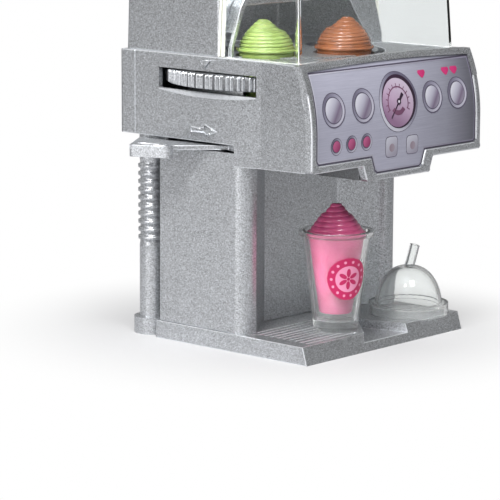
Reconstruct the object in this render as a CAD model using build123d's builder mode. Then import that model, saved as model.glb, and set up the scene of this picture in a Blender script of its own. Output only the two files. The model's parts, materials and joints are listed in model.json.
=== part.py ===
from build123d import *
from math import atan2, cos, degrees, hypot, pi, radians, sin, sqrt, tan
import os

# Toy coffee maker with a turning drink carousel, a dispensing lever, a cup and a lid.
# Millimetres, +Z up, front towards -Y, origin in the middle of the base underside.

# ---- Driving dimensions ----------------------------------------------------------------
shell_wall = 1.6
thin_wall = 1.2
joint_gap = 0.1                 # between snapped or screwed covers
running_gap = 0.3               # between moving and fixed pieces

# Base
base_margin = 0.6               # beyond each side of the tower
base_front = -41.4
base_front_lean = 1.6           # how far the front face leans back
base_rear = 19.0
base_height = 5.3
base_skin = 1.4
base_corner = 1.5
plate_thickness = 1.2
channel_half_width = 11.3
channel_floor = 2.7
channel_apex = (6.5, -24.5)
groove_count = 10
groove_pitch = 2.3
groove_width = 0.9
groove_depth = 0.55
groove_first = -37.5
groove_left = -31.5
groove_margin = 2.6

# Tower
body_half_width = 35.7
pilaster_width = 5.9
pilaster_round = 1.5
tower_front = -16.7
tower_rear = 17.0
tower_corner = 4.0
oblique_inset = 7.2             # oblique wall starts this far in from the side
oblique_setback = 1.8
recess_half_width = 16.6
recess_depth = 9.05
recess_round = 1.0

# Head
panel_flare = 3.3               # beyond each side of the body
panel_clearance = 6.75          # from the thumb ring to the panel's front
panel_bottom = 55.7
panel_bend = 65.7               # where the flat panel starts to lean back
panel_lean = 4.65               # how far the panel's top leans back
panel_crown = 0.9
fascia_thickness = 2.4
flare_start = -23.0
skirt_rear_bottom = 54.5
head_underside = 60.6
head_top = 85.7
head_plate = 1.8
rear_seam = 27.2
rear_corner = 1.2
tab_bottom = 51.1
tab_top_half_width = 16.2
tab_bottom_half_width = 14.4
bezel = 2.1
label_thickness = 0.5
label_recess = 0.9
label_gap = 0.15
label_tab_half_width = 12.5
label_tab_bottom = 53.0

# Inner floors
floor_thickness = 2.0
deck_thickness = 1.4
ledge_width = 4.0
ledge_rear = -22.5
chute_plate = 1.4
chute_seat = 58.2
chute_half_width = 15.4
chute_wall = 1.2
chute_bottom = 51.4
chute_rear = -14.0

# Carousel
ring_overhang = 3.2             # thumb ring past the left side
wheel_y = -3.2
wheel_opening_gap = 2.0
pocket_count = 5
pocket_radius = 9.0
pocket_circle = 20.4            # radius of the circle of pockets
pocket_open = 1.4               # pockets break through the drum's side
drum_skirt_bottom = 74.0
drum_bottom = 66.0
drum_top = 85.9
drum_plate = 1.5
drum_wall = 1.2
sleeve_wall = 1.0
hub_radius = 5.5
hub_bottom = 64.3
spindle_radius = 2.4
spindle_gap = 0.05
spindle_flange = 2.8
cap_height = 1.4
ring_width = 7.1
ring_height = 4.5
ring_drop = 4.8                 # below the head's top
rib_count = 60
rib_depth = 0.7
notch_ahead = 17.9              # in front of the wheel's axis
notch_behind = 20.55
notch_below = 1.3
notch_above = 0.4

# Lever
pivot_inset = 6.2               # from the left side
pivot_y = -10.5
lever_travel = 28.0
lever_slot_front = -12.55
gate_overtravel = 1.5           # degrees that the slot goes on past the lever's travel
blade_thickness = 1.4
blade_bottom = 58.55
grip_height = 3.55
grip_nose_round = 1.6
grip_heel_round = 1.2
lever_hub = 4.0
key_size = 4.4
key_gap = 0.05
arm_bottom = 60.95
arm_thickness = 1.35
arm_width = 4.0
gate_tip_radius = 3.6
gate_tip_top = 63.9
gate_slot_gap = 0.3
pin_radius = 1.2
pin_gap = 0.05
pin_head_radius = 2.2
pin_head = 1.4
drop_hole_radius = 9.4

# Drinks, cup and lid
drink_bottom_radius = 5.0
drink_shoulder_radius = 8.2
drink_shoulder = 22.9
brim_radius = 8.8
brim_thickness = 1.0
swirl_radius = 7.9
swirl_foot = 0.4
swirl_top_radius = 2.2
swirl_height = 8.0
swirl_tiers = 5
full_bulge = 1.8                # 1 is a straight cone, more is a rounder swirl
slim_bulge = 1.15
drink_rest = 64.05
cup_centre = (-9.8, -29.8)
cup_bottom_radius = 6.5
cup_shoulder_radius = 9.9
cup_shoulder = 28.3
cup_rim_radius = 11.05
cup_rim = 1.3
cup_wall = 0.9
cup_floor = 3.1
cup_gap = 0.4                   # round the brim of the drink
seat_gap = 0.25                 # round its shoulder
seat_drop = 0.1
lid_centre = (24.35, -30.0)
lid_ring_radius = 12.1
lid_ring_height = 3.4
lid_dome_radius = 10.2
lid_height = 14.7
lid_wall = 1.0
straw_radius = 1.5
straw_bore = 0.9
straw_length = 7.4
straw_lean = 13.5
straw_heading = -48.2

# Hopper, hood and bulkhead
hopper_inset = 0.2              # from each side of the body
hopper_front = -37.0
hopper_height = 24.3
hopper_round = 1.5
cover_gap = 0.2                 # between the hopper's rear ends and the hood
hopper_side_lean = 2.6
hopper_front_lean = 3.2
bulkhead_front = -10.2
bulkhead_thickness = 1.2
bulkhead_inset = 1.9            # from each side of the body
bulkhead_knee_rise = 3.0        # heights of the bulkhead are above the head's top
bulkhead_shoulder = (29.8, 14.3)
bulkhead_top = (21.0, 26.3)
bulkhead_round = 3.0
bulkhead_lip = 0.8
bulkhead_lip_rise = 7.0
arch_left = ((-32.6, 2.9), (-29.2, 11.4), (-27.9, 14.0), (-26.9, 14.6))
arch_right = ((17.6, 14.6), (20.8, 10.0), (26.8, 2.3))
hood_inset = 1.3                # from each side of the body
hood_front = -6.0
hood_rear = 32.0
hood_height = 27.3
hood_wall = 1.1
hood_lean = 1.0
hood_corner = 1.3
hood_round = 3.0

# Rear columns
column_inset = 5.3              # axis from the side of the body
column_y = 24.9
column_radius = 4.0
rib_radius = 4.4
rib_groove_radius = 3.75
column_ribs = 10
column_rib_pitch = 2.41
column_rib_first = 29.1
foot_radius = 5.7
foot_height = 5.0

# Screws
screw_radius = 1.0
screw_head_radius = 2.0
screw_head = 1.0
boss_radius = 2.6
base_screw_inset = 3.9          # from the side of the body
base_screw_rows = (-8.0, 11.0)
base_screw_length = 11.0
tower_screw_heights = (20.0, 48.0)
cover_screw_inset = 4.0
tower_screw_length = 7.0
rear_screw_rise = 7.4           # above the head's underside
rear_screw_length = 6.0
deck_front_screw = (3.7, -31.0)
deck_rear_screw = (9.7, 17.6)

# Marks on the left side
triangle = ((0.4, 84.5), (-3.2, 84.5), (-1.4, 82.3))
arrow = ((3.9, 64.6), (-1.6, 64.6), (-1.6, 65.5), (-5.5, 64.0), (-1.6, 62.5), (-1.6, 63.4),
         (3.9, 63.4))
mark_height = 0.5

# ---- Derived sizes ---------------------------------------------------------------------
pilaster_inner = body_half_width - pilaster_width
oblique_outer = (body_half_width - oblique_inset, tower_front + oblique_setback)
recess_back = tower_front + recess_depth
base_half_width = body_half_width + base_margin
drum_radius = pocket_circle + pocket_radius - pocket_open
ring_radius = drum_radius + ring_width
ring_top = head_top - ring_drop
ring_bottom = ring_top - ring_height
wheel_x = ring_radius - body_half_width - ring_overhang
wheel = (wheel_x, wheel_y)
drop_y = wheel_y - sqrt(pocket_circle**2 - wheel_x**2)
pocket_start = degrees(atan2(drop_y - wheel_y, 0 - wheel_x))
pocket_step = 360 / pocket_count
head_rear = wheel_y + ring_radius + running_gap + thin_wall
panel_front = wheel_y - ring_radius - panel_clearance
panel_top_front = panel_front + panel_lean
panel_half_width = body_half_width + panel_flare
wheel_opening = drum_radius + wheel_opening_gap
plate_bottom = drum_top - drum_plate
notch_front = wheel_y - notch_ahead
notch_rear = wheel_y + notch_behind
notch_bottom = ring_bottom - notch_below
notch_top = ring_top + notch_above
inner_half_width = body_half_width - shell_wall
pivot_x = pivot_inset - body_half_width
lever_pivot = (pivot_x, pivot_y)
gate_reach = hypot(0 - pivot_x, drop_y - pivot_y)
gate_angle = degrees(atan2(drop_y - pivot_y, 0 - pivot_x))
panel_back = panel_front + fascia_thickness
deck_bottom = head_underside + floor_thickness
deck_top = deck_bottom + deck_thickness
head_walls_top = head_top - head_plate
blade_top = blade_bottom + blade_thickness
hopper_half_width = body_half_width - hopper_inset
hopper_top = head_top + hopper_height
bulkhead_half_width = body_half_width - bulkhead_inset
hood_half_width = body_half_width - hood_inset
hood_top = head_top + hood_height
base_screws_at = [(body_half_width - base_screw_inset, y) for y in base_screw_rows]
tower_screw_x = body_half_width - cover_screw_inset
rear_screw_x = body_half_width - cover_screw_inset
rear_screw_z = head_underside + rear_screw_rise
deck_screws_at = [(body_half_width - inset, y) for inset, y in (deck_front_screw, deck_rear_screw)]
base_head_depth = 0.8 * plate_thickness
far = 100.0                     # reach of cutting bodies past the part
tiny = 0.01                     # tolerance when picking edges and corners

PARTS = "parts"
os.makedirs(PARTS, exist_ok=True)


def write(name, label):
    """Label a finished piece and write it."""
    name.part.label = label
    export_step(name.part, f"{PARTS}/{label}.step")


# ---- Shared outlines -------------------------------------------------------------------
def mirrored(points):
    """Close a right-hand run of points with its mirror image on the left."""
    return list(points) + [(-x, y) for x, y in reversed(points)]


def tower_plan():
    """Outline of the tower with its oblique recess, as a sketch."""
    right = [
        (body_half_width, tower_rear),
        (body_half_width, tower_front),
        (pilaster_inner, tower_front),
        oblique_outer,
        (recess_half_width, recess_back),
    ]
    with BuildSketch() as plan:
        with BuildLine():
            Polyline(*mirrored(right), close=True)
        make_face()
        front_corners = plan.vertices().filter_by_position(Axis.Y, tower_front - tiny, tower_front + tiny)
        fillet([v for v in front_corners if abs(v.X) > pilaster_inner + tiny], tower_corner)
        fillet([v for v in plan.vertices() if abs(abs(v.X) - pilaster_inner) < tiny], pilaster_round)
        fillet([v for v in plan.vertices() if abs(abs(v.X) - recess_half_width) < tiny], recess_round)
    return plan.sketch_local


def head_plan(inset, front=panel_front - shell_wall, rear=rear_seam):
    """Outline of the head: parallel sides that flare towards the panel."""
    slope = (panel_half_width - body_half_width) / (flare_start - panel_back)
    front_half_width = body_half_width + slope * (flare_start - front)
    right = [
        (body_half_width - inset, rear),
        (body_half_width - inset, flare_start),
        (front_half_width - inset, front),
    ]
    with BuildSketch() as plan:
        with BuildLine():
            Polyline(*mirrored(right), close=True)
        make_face()
    return plan.sketch_local


def front_curve_sketch(shift, back, bottom=tab_bottom - 2, top=head_top + 2):
    """Everything behind the curved front of the head, in side view, as a YZ sketch."""
    lean = panel_top_front - panel_front
    rise = head_top - panel_bend
    radius = (rise * rise + lean * lean) / (2 * lean)
    end_rise = top - panel_bend
    end_lean = radius - sqrt(radius * radius - end_rise * end_rise)
    y0 = panel_front + shift
    with BuildSketch(Plane.YZ) as side:
        with BuildLine():
            Line((y0, bottom), (y0, panel_bend))
            TangentArc((y0, panel_bend), (y0 + end_lean, top), tangent=(0, 1))
            Polyline((y0 + end_lean, top), (back, top), (back, bottom), (y0, bottom))
        make_face()
    return side.sketch_local


def behind_front(shift, back=head_rear, bottom=tab_bottom - 2, top=head_top + 2):
    """Solid behind the curved front of the head."""
    with BuildPart() as solid:
        with BuildSketch(Plane.YZ):
            add(front_curve_sketch(shift, back, bottom, top))
        extrude(amount=far / 2, both=True)
    return solid.part


def panel_outline(margin, tab_half_width, tab_low, low):
    """Front view of the panel with its hanging tab, as an XZ sketch."""
    half = panel_half_width - margin
    high = head_top - margin * 0.8
    lean = tab_top_half_width - tab_bottom_half_width
    with BuildSketch(Plane.XZ) as face:
        with BuildLine():
            Polyline((-half, high), (-half, low), (-tab_half_width, low),
                     (-tab_half_width + lean, tab_low), (tab_half_width - lean, tab_low),
                     (tab_half_width, low), (half, low), (half, high))
            ThreePointArc((half, high), (0, high + panel_crown), (-half, high))
        make_face()
        fillet([v for v in face.vertices() if v.Y < tab_low + 0.01], 1.2)
        fillet([v for v in face.vertices() if abs(abs(v.X) - half) < 0.01 and v.Y < low + 0.01], 1.0)
    return face.sketch_local


def drink_points(bulge):
    """Right-hand profile of a soft-serve drink, from its bottom centre to its tip."""
    brim_low = drink_shoulder
    brim_high = drink_shoulder + brim_thickness
    points = [(0, 0), (drink_bottom_radius, 0), (drink_shoulder_radius, brim_low),
              (brim_radius, brim_low), (brim_radius, brim_high), (swirl_radius, brim_high)]
    low = brim_high + swirl_foot
    tier = swirl_height / swirl_tiers
    spread = swirl_radius - swirl_top_radius
    for index in range(swirl_tiers):
        outer = swirl_radius - spread * (index / swirl_tiers)**bulge
        step = outer - swirl_radius + spread * ((index + 1) / swirl_tiers)**bulge
        z = low + tier * index
        points += [(outer, z), (outer - 0.15 * step, z + 0.55 * tier)]
        points += [(outer - 0.9 * step, z + 0.92 * tier)]
    points += [(swirl_top_radius * 0.6, low + swirl_height), (0, low + swirl_height)]
    return points


def drink(centre_x, centre_y, z, bulge):
    """A solid drink standing at the given place."""
    with BuildPart() as solid:
        with BuildSketch(Plane.XZ):
            with BuildLine():
                Polyline(*drink_points(bulge), close=True)
            make_face()
        revolve(axis=Axis.Z)
    return solid.part.moved(Location((centre_x, centre_y, z)))


def pocket_place(index):
    """Centre of one carousel pocket."""
    angle = radians(pocket_start + pocket_step * index)
    return wheel_x + pocket_circle * cos(angle), wheel_y + pocket_circle * sin(angle)


def both_sides(places):
    """Right-hand places and their mirror images."""
    return [(side * x, y) for x, y in places for side in (-1, 1)]


tower_outline = tower_plan()
base_inner_half = base_half_width - shell_wall
base_top_front = base_front + base_front_lean
base_inner_front = base_top_front + shell_wall
base_inner_rear = base_rear - shell_wall

# ---- Base ------------------------------------------------------------------------------
channel_points = [(-channel_half_width, base_front - 1), (channel_half_width, base_front - 1),
                  channel_apex]
boss_places = both_sides(base_screws_at)

with BuildPart() as base_tray:
    with BuildSketch(Plane.YZ):
        with BuildLine():
            Polyline((base_front, 0), (base_top_front, base_height), (base_rear, base_height),
                     (base_rear, 0), close=True)
        make_face()
    extrude(amount=base_half_width, both=True)
    fillet(base_tray.edges().filter_by(Axis.Z), base_corner)
    # recess for the base plate, and the hollow above it
    with BuildSketch(Plane.XY):
        with Locations((0, (base_inner_front + base_inner_rear) / 2)):
            Rectangle(2 * base_inner_half, base_inner_rear - base_inner_front)
    extrude(amount=plate_thickness, mode=Mode.SUBTRACT)
    with BuildSketch(Plane.XY.offset(plate_thickness)):
        with Locations((0, (base_inner_front + base_inner_rear) / 2)):
            Rectangle(2 * base_inner_half, base_inner_rear - base_inner_front)
        with BuildSketch(mode=Mode.SUBTRACT):
            with BuildLine():
                Polyline(*channel_points, close=True)
            make_face()
            offset(amount=base_skin, kind=Kind.INTERSECTION)
        with Locations(*boss_places):
            Circle(boss_radius, mode=Mode.SUBTRACT)
    extrude(amount=base_height - base_skin - plate_thickness, mode=Mode.SUBTRACT)
    # drain channel
    with BuildSketch(Plane.XY.offset(channel_floor)):
        with BuildLine():
            Polyline(*channel_points, close=True)
        make_face()
    extrude(amount=base_height, mode=Mode.SUBTRACT)
    # drip grooves, shorter towards the front where the channel is wide
    edge_slope = (channel_apex[0] + channel_half_width) / (channel_apex[1] - base_front)
    for number in range(groove_count):
        groove_y = groove_first + groove_pitch * number
        groove_right = min(-channel_half_width + edge_slope * (groove_y - base_front),
                           channel_apex[0]) - groove_margin
        with Locations(((groove_left + groove_right) / 2, groove_y, base_height)):
            Box(groove_right - groove_left, groove_width, 2 * groove_depth, mode=Mode.SUBTRACT)
    with Locations(*[(x, y, 0) for x, y in boss_places]):
        Cylinder(screw_radius, 4 * base_height, mode=Mode.SUBTRACT)
write(base_tray, "base_tray")

with BuildPart() as base_plate:
    with BuildSketch(Plane.XY):
        with Locations((0, (base_inner_front + base_inner_rear) / 2)):
            Rectangle(2 * (base_inner_half - joint_gap),
                      base_inner_rear - base_inner_front - 2 * joint_gap)
    extrude(amount=plate_thickness)
    with Locations(*[(x, y, 0) for x, y in boss_places]):
        Cylinder(screw_radius, 4 * plate_thickness, mode=Mode.SUBTRACT)
        Cylinder(screw_head_radius, 2 * base_head_depth, mode=Mode.SUBTRACT)
write(base_plate, "base_plate")

# ---- Front shell: tower, head sides and rear floor --------------------------------------
with BuildPart() as front_shell:
    with BuildSketch(Plane.XY.offset(skirt_rear_bottom)):
        add(head_plan(0))
    extrude(amount=head_walls_top - skirt_rear_bottom)
    add(behind_front(fascia_thickness), mode=Mode.INTERSECT)
    # the skirt rises towards the panel, and the head has its own underside at the rear
    with BuildSketch(Plane.YZ):
        with BuildLine():
            Polyline((panel_back, skirt_rear_bottom - 1), (panel_back, panel_bottom),
                     (tower_front, skirt_rear_bottom), (tower_front, skirt_rear_bottom - 1),
                     close=True)
        make_face()
        with Locations(((tower_rear + head_rear) / 2, head_underside / 2)):
            Rectangle(head_rear - tower_rear, head_underside)
    extrude(amount=far / 2, both=True, mode=Mode.SUBTRACT)
    with BuildSketch(Plane.XY.offset(skirt_rear_bottom - 1)):
        add(head_plan(shell_wall, rear=rear_seam + 1))
    extrude(amount=head_top, mode=Mode.SUBTRACT)
    # tower walls
    with BuildSketch(Plane.XY.offset(base_height)):
        add(tower_outline)
        offset(amount=-shell_wall, mode=Mode.SUBTRACT)
        with Locations((0, tower_rear)):
            Rectangle(2 * inner_half_width, 2 * shell_wall + 2, mode=Mode.SUBTRACT)
    extrude(amount=chute_seat - base_height)
    # rear floor, and the ledges that carry the deck and the chute
    with BuildSketch(Plane.XY.offset(head_underside)):
        with Locations((0, (tower_rear - shell_wall + rear_seam) / 2)):
            Rectangle(2 * body_half_width, rear_seam - tower_rear + shell_wall)
    extrude(amount=floor_thickness)
    for ledge_top, ledge_height in ((deck_bottom, floor_thickness), (chute_seat, shell_wall)):
        with BuildSketch(Plane.XY.offset(ledge_top - ledge_height)):
            add(head_plan(shell_wall / 2, front=panel_back + joint_gap, rear=ledge_rear))
            Rectangle(2 * (inner_half_width - ledge_width), far, mode=Mode.SUBTRACT)
        extrude(amount=ledge_height)
    # bosses
    with Locations(*[(x, y, base_height + base_screw_length / 2) for x, y in both_sides(base_screws_at)]):
        Cylinder(boss_radius, base_screw_length)
    for side in (-1, 1):
        for height in tower_screw_heights:
            with BuildSketch(Plane.XZ.offset(shell_wall - tower_rear)):
                with Locations((side * tower_screw_x, height)):
                    Circle(boss_radius)
            extrude(amount=tower_screw_length)
        with BuildSketch(Plane.XZ.offset(-rear_seam)):
            with Locations((side * rear_screw_x, rear_screw_z)):
                Circle(boss_radius)
        extrude(amount=rear_screw_length)
    # screw holes
    with Locations(*[(x, y, base_height) for x, y in both_sides(base_screws_at)]):
        Cylinder(screw_radius, 2 * base_screw_length, mode=Mode.SUBTRACT)
    for side in (-1, 1):
        for height in tower_screw_heights:
            with BuildSketch(Plane.XZ.offset(-tower_rear)):
                with Locations((side * tower_screw_x, height)):
                    Circle(screw_radius)
            extrude(amount=tower_screw_length, mode=Mode.SUBTRACT)
        with BuildSketch(Plane.XZ.offset(-rear_seam)):
            with Locations((side * rear_screw_x, rear_screw_z)):
                Circle(screw_radius)
        extrude(amount=rear_screw_length, mode=Mode.SUBTRACT)
    with Locations(*[(x, y, deck_bottom) for x, y in both_sides(deck_screws_at)]):
        Cylinder(screw_radius, 2 * floor_thickness, mode=Mode.SUBTRACT)
    # lever slot, thumb wheel notch and the room for the thumb ring
    slot_middle = (lever_slot_front + rear_seam) / 2
    with Locations((-body_half_width, slot_middle, (chute_seat + head_underside) / 2)):
        Box(4 * shell_wall, rear_seam - lever_slot_front, head_underside - chute_seat,
            mode=Mode.SUBTRACT)
    with Locations((-body_half_width, (notch_front + notch_rear) / 2, (notch_bottom + head_top) / 2)):
        Box(4 * shell_wall, notch_rear - notch_front, head_top - notch_bottom, mode=Mode.SUBTRACT)
    with Locations((wheel_x, wheel_y, (notch_bottom + notch_top) / 2)):
        Cylinder(ring_radius + running_gap, notch_top - notch_bottom, mode=Mode.SUBTRACT)
    # arrow that shows which way the lever goes
    with BuildSketch(Plane.YZ.offset(-body_half_width - mark_height)):
        with BuildLine():
            Polyline(*arrow, close=True)
        make_face()
    extrude(amount=mark_height)
write(front_shell, "front_shell")

with BuildPart() as tower_back_cover:
    with BuildSketch(Plane.XZ.offset(-tower_rear)):
        with Locations((0, (base_height + head_underside) / 2)):
            Rectangle(2 * (inner_half_width - joint_gap), head_underside - base_height)
    extrude(amount=shell_wall)
    for side in (-1, 1):
        for height in tower_screw_heights:
            with BuildSketch(Plane.XZ.offset(-tower_rear)):
                with Locations((side * tower_screw_x, height)):
                    Circle(screw_radius)
            extrude(amount=shell_wall, mode=Mode.SUBTRACT)
            with BuildSketch(Plane.XZ.offset(-tower_rear)):
                with Locations((side * tower_screw_x, height)):
                    Circle(screw_head_radius)
            extrude(amount=screw_head, mode=Mode.SUBTRACT)
write(tower_back_cover, "tower_back_cover")


# ---- Front fascia and its label ----------------------------------------------------------
def front_slice(outline, from_shift, to_shift):
    """Layer of the curved front, cut out by an outline seen from the front."""
    with BuildPart() as layer:
        with BuildSketch(Plane.XZ):
            add(outline)
        extrude(amount=far)
        add(behind_front(from_shift), mode=Mode.INTERSECT)
        add(behind_front(to_shift), mode=Mode.SUBTRACT)
    return layer.part


fascia_outline = panel_outline(0, tab_top_half_width, tab_bottom, panel_bottom)
label_hole = panel_outline(bezel, label_tab_half_width, label_tab_bottom, panel_bottom + bezel)
label_outline = panel_outline(bezel + label_gap, label_tab_half_width - label_gap,
                              label_tab_bottom + label_gap, panel_bottom + bezel + label_gap)

with BuildPart() as front_fascia:
    add(front_slice(fascia_outline, 0, fascia_thickness))
    add(front_slice(label_hole, -2, label_recess), mode=Mode.SUBTRACT)
write(front_fascia, "front_fascia")

with BuildPart() as panel_label:
    add(front_slice(label_outline, label_recess - label_thickness, label_recess))
write(panel_label, "panel_label")

# ---- Head covers -------------------------------------------------------------------------
with BuildPart() as head_cover:
    with BuildSketch(Plane.XY.offset(head_walls_top)):
        add(head_plan(0))
    extrude(amount=head_plate)
    add(behind_front(fascia_thickness), mode=Mode.INTERSECT)
    # tongue that closes the notch above the thumb ring
    with Locations((-body_half_width + shell_wall / 2, (notch_front + notch_rear) / 2,
                    (notch_top + head_walls_top) / 2)):
        Box(shell_wall, notch_rear - notch_front - 2 * joint_gap, head_walls_top - notch_top)
    with Locations((wheel_x, wheel_y, head_top)):
        Cylinder(wheel_opening, 4 * head_plate, mode=Mode.SUBTRACT)
    # triangle over the thumb ring
    with BuildSketch(Plane.YZ.offset(-body_half_width - mark_height)):
        with BuildLine():
            Polyline(*triangle, close=True)
        make_face()
    extrude(amount=mark_height)
write(head_cover, "head_top")

with BuildPart() as rear_cover:
    with BuildSketch(Plane.XY.offset(head_underside)):
        with Locations((0, (rear_seam + head_rear) / 2)):
            Rectangle(2 * body_half_width, head_rear - rear_seam)
    extrude(amount=head_top - head_underside)
    fillet(rear_cover.faces().sort_by(Axis.Y)[-1].edges(), rear_corner)
    with Locations((0, (rear_seam + head_rear) / 2 - thin_wall, (head_underside + head_top) / 2)):
        Box(2 * (body_half_width - thin_wall), head_rear - rear_seam,
            head_top - head_underside - 2 * thin_wall, mode=Mode.SUBTRACT)
    for side in (-1, 1):
        with BuildSketch(Plane.XZ.offset(-head_rear)):
            with Locations((side * rear_screw_x, rear_screw_z)):
                Circle(boss_radius)
        extrude(amount=head_rear - rear_seam)
    for side in (-1, 1):
        with BuildSketch(Plane.XZ.offset(-head_rear)):
            with Locations((side * rear_screw_x, rear_screw_z)):
                Circle(screw_radius)
        extrude(amount=head_rear - rear_seam, mode=Mode.SUBTRACT)
        with BuildSketch(Plane.XZ.offset(-head_rear)):
            with Locations((side * rear_screw_x, rear_screw_z)):
                Circle(screw_head_radius)
        extrude(amount=screw_head, mode=Mode.SUBTRACT)
write(rear_cover, "rear_cover")

# ---- Deck, spindle and chute -------------------------------------------------------------
gate_path = CenterArc(lever_pivot, gate_reach, gate_angle, lever_travel + gate_overtravel)

with BuildPart() as drop_deck:
    with BuildSketch(Plane.XY.offset(deck_bottom)):
        add(head_plan(shell_wall + joint_gap, front=panel_back + joint_gap,
                      rear=rear_seam - joint_gap))
        with Locations((0, drop_y)):
            Circle(drop_hole_radius, mode=Mode.SUBTRACT)
        SlotArc(gate_path, 2 * (gate_tip_radius + gate_slot_gap), mode=Mode.SUBTRACT)
        with Locations(wheel):
            Circle(spindle_radius, mode=Mode.SUBTRACT)
        with Locations(lever_pivot):
            Circle(pin_radius, mode=Mode.SUBTRACT)
        with Locations(*both_sides(deck_screws_at)):
            Circle(screw_radius, mode=Mode.SUBTRACT)
    extrude(amount=deck_thickness)
write(drop_deck, "drop_deck")

spindle_top = drum_top + running_gap
with BuildPart() as spindle:
    with BuildSketch(Plane.XY.offset(deck_bottom)):
        with Locations(wheel):
            Circle(spindle_radius)
    extrude(amount=spindle_top - deck_bottom)
    with BuildSketch(Plane.XY.offset(deck_bottom)):
        with Locations(wheel):
            Circle(spindle_flange)
    extrude(amount=-thin_wall)
write(spindle, "spindle")

with BuildPart() as spindle_cap:
    with BuildSketch(Plane.XY.offset(spindle_top)):
        with Locations(wheel):
            Circle(hub_radius)
    extrude(amount=cap_height)
    fillet(spindle_cap.edges().group_by(Axis.Z)[-1], cap_height / 2)
write(spindle_cap, "spindle_cap")

with BuildPart() as chute:
    with BuildSketch(Plane.XY.offset(chute_seat)):
        add(head_plan(shell_wall + joint_gap, front=panel_back + joint_gap, rear=flare_start + 1))
        with Locations((0, (flare_start + tower_front) / 2)):
            Rectangle(2 * (inner_half_width - joint_gap), tower_front - flare_start - 2 * joint_gap)
        tongue_rear = recess_back + shell_wall
        with Locations((0, (flare_start + tongue_rear) / 2)):
            Rectangle(2 * chute_half_width, tongue_rear - flare_start)
        with Locations((0, drop_y)):
            Circle(drop_hole_radius, mode=Mode.SUBTRACT)
    extrude(amount=chute_plate)
    # walls that guide the falling drink
    with BuildSketch(Plane.XY.offset(chute_bottom)):
        with Locations((0, (panel_back + joint_gap + chute_rear) / 2)):
            Rectangle(2 * chute_half_width, chute_rear - panel_back - joint_gap)
        with Locations((0, (panel_back + chute_rear) / 2 - chute_wall)):
            Rectangle(2 * (chute_half_width - chute_wall), chute_rear - panel_back,
                      mode=Mode.SUBTRACT)
    extrude(amount=chute_seat - chute_bottom)
write(chute, "chute")

# ---- Carousel ----------------------------------------------------------------------------
with BuildPart() as carousel:
    with BuildSketch(Plane.XY.offset(plate_bottom)):
        with Locations(wheel):
            Circle(drum_radius)
    extrude(amount=drum_plate)
    with BuildSketch(Plane.XY.offset(hub_bottom)):
        with Locations(wheel):
            Circle(hub_radius)
    extrude(amount=drum_top - hub_bottom)
    with BuildSketch(Plane.XY.offset(hub_bottom)):
        with Locations(*[pocket_place(i) for i in range(pocket_count)]):
            Circle(pocket_radius)
        with Locations(wheel):
            Circle(spindle_radius + spindle_gap)
    extrude(amount=drum_top - hub_bottom, mode=Mode.SUBTRACT)
write(carousel, "carousel")

with BuildPart() as pocket_sleeves:
    with BuildSketch(Plane.XY.offset(drum_bottom)):
        with Locations(wheel):
            Circle(drum_radius)
        with BuildSketch(Plane.XY.offset(drum_bottom), mode=Mode.INTERSECT):
            with Locations(*[pocket_place(i) for i in range(pocket_count)]):
                Circle(pocket_radius + sleeve_wall)
        with Locations(*[pocket_place(i) for i in range(pocket_count)]):
            Circle(pocket_radius, mode=Mode.SUBTRACT)
    extrude(amount=plate_bottom - drum_bottom)
write(pocket_sleeves, "pocket_sleeves")

with BuildPart() as drum_skirt:
    with BuildSketch(Plane.XY.offset(drum_skirt_bottom)):
        with Locations(wheel):
            Circle(drum_radius)
            Circle(drum_radius - drum_wall, mode=Mode.SUBTRACT)
        with Locations(*[pocket_place(i) for i in range(pocket_count)]):
            Circle(pocket_radius + sleeve_wall, mode=Mode.SUBTRACT)
    extrude(amount=plate_bottom - drum_skirt_bottom)
write(drum_skirt, "drum_skirt")


def knurl_points():
    """Outline of the thumb ring: pairs of ribs with a wider groove between the pairs."""
    low = ring_radius - rib_depth
    step = 360 / rib_count
    flanks = ((0.08, low), (0.13, ring_radius), (0.35, ring_radius), (0.40, low),
              (0.48, low), (0.53, ring_radius), (0.75, ring_radius), (0.80, low))
    points = []
    for number in range(rib_count):
        for share, radius in flanks:
            angle = radians(step * (number + share))
            points.append((wheel_x + radius * cos(angle), wheel_y + radius * sin(angle)))
    return points


with BuildPart() as thumb_ring:
    with BuildSketch(Plane.XY.offset(ring_bottom)):
        with BuildLine():
            Polyline(*knurl_points(), close=True)
        make_face()
        with Locations(wheel):
            Circle(drum_radius + spindle_gap, mode=Mode.SUBTRACT)
        with Locations(*[pocket_place(i) for i in range(pocket_count)]):
            Circle(pocket_radius, mode=Mode.SUBTRACT)
    extrude(amount=ring_top - ring_bottom)
write(thumb_ring, "thumb_ring")

# ---- Lever -------------------------------------------------------------------------------
# Corners of the grip and the blade at rest, as distances outside the left side and Y.
grip_corners = ((7.2, 2.1), (10.8, 3.7), (15.0, 14.9), (10.9, 17.7))
blade_corners = ((8.0, 4.2), (15.0, 14.9), (0.4, 24.8), (0.4, 14.0))
grip_plan = [(-body_half_width - out, y) for out, y in grip_corners]
blade_plan = [(-body_half_width - out, y) for out, y in blade_corners]
blade_plan += [(pivot_x - 2.5, pivot_y + 4.0), lever_pivot, (pivot_x - 3.4, pivot_y + 3.5)]
key_top = arm_bottom + arm_thickness

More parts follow.
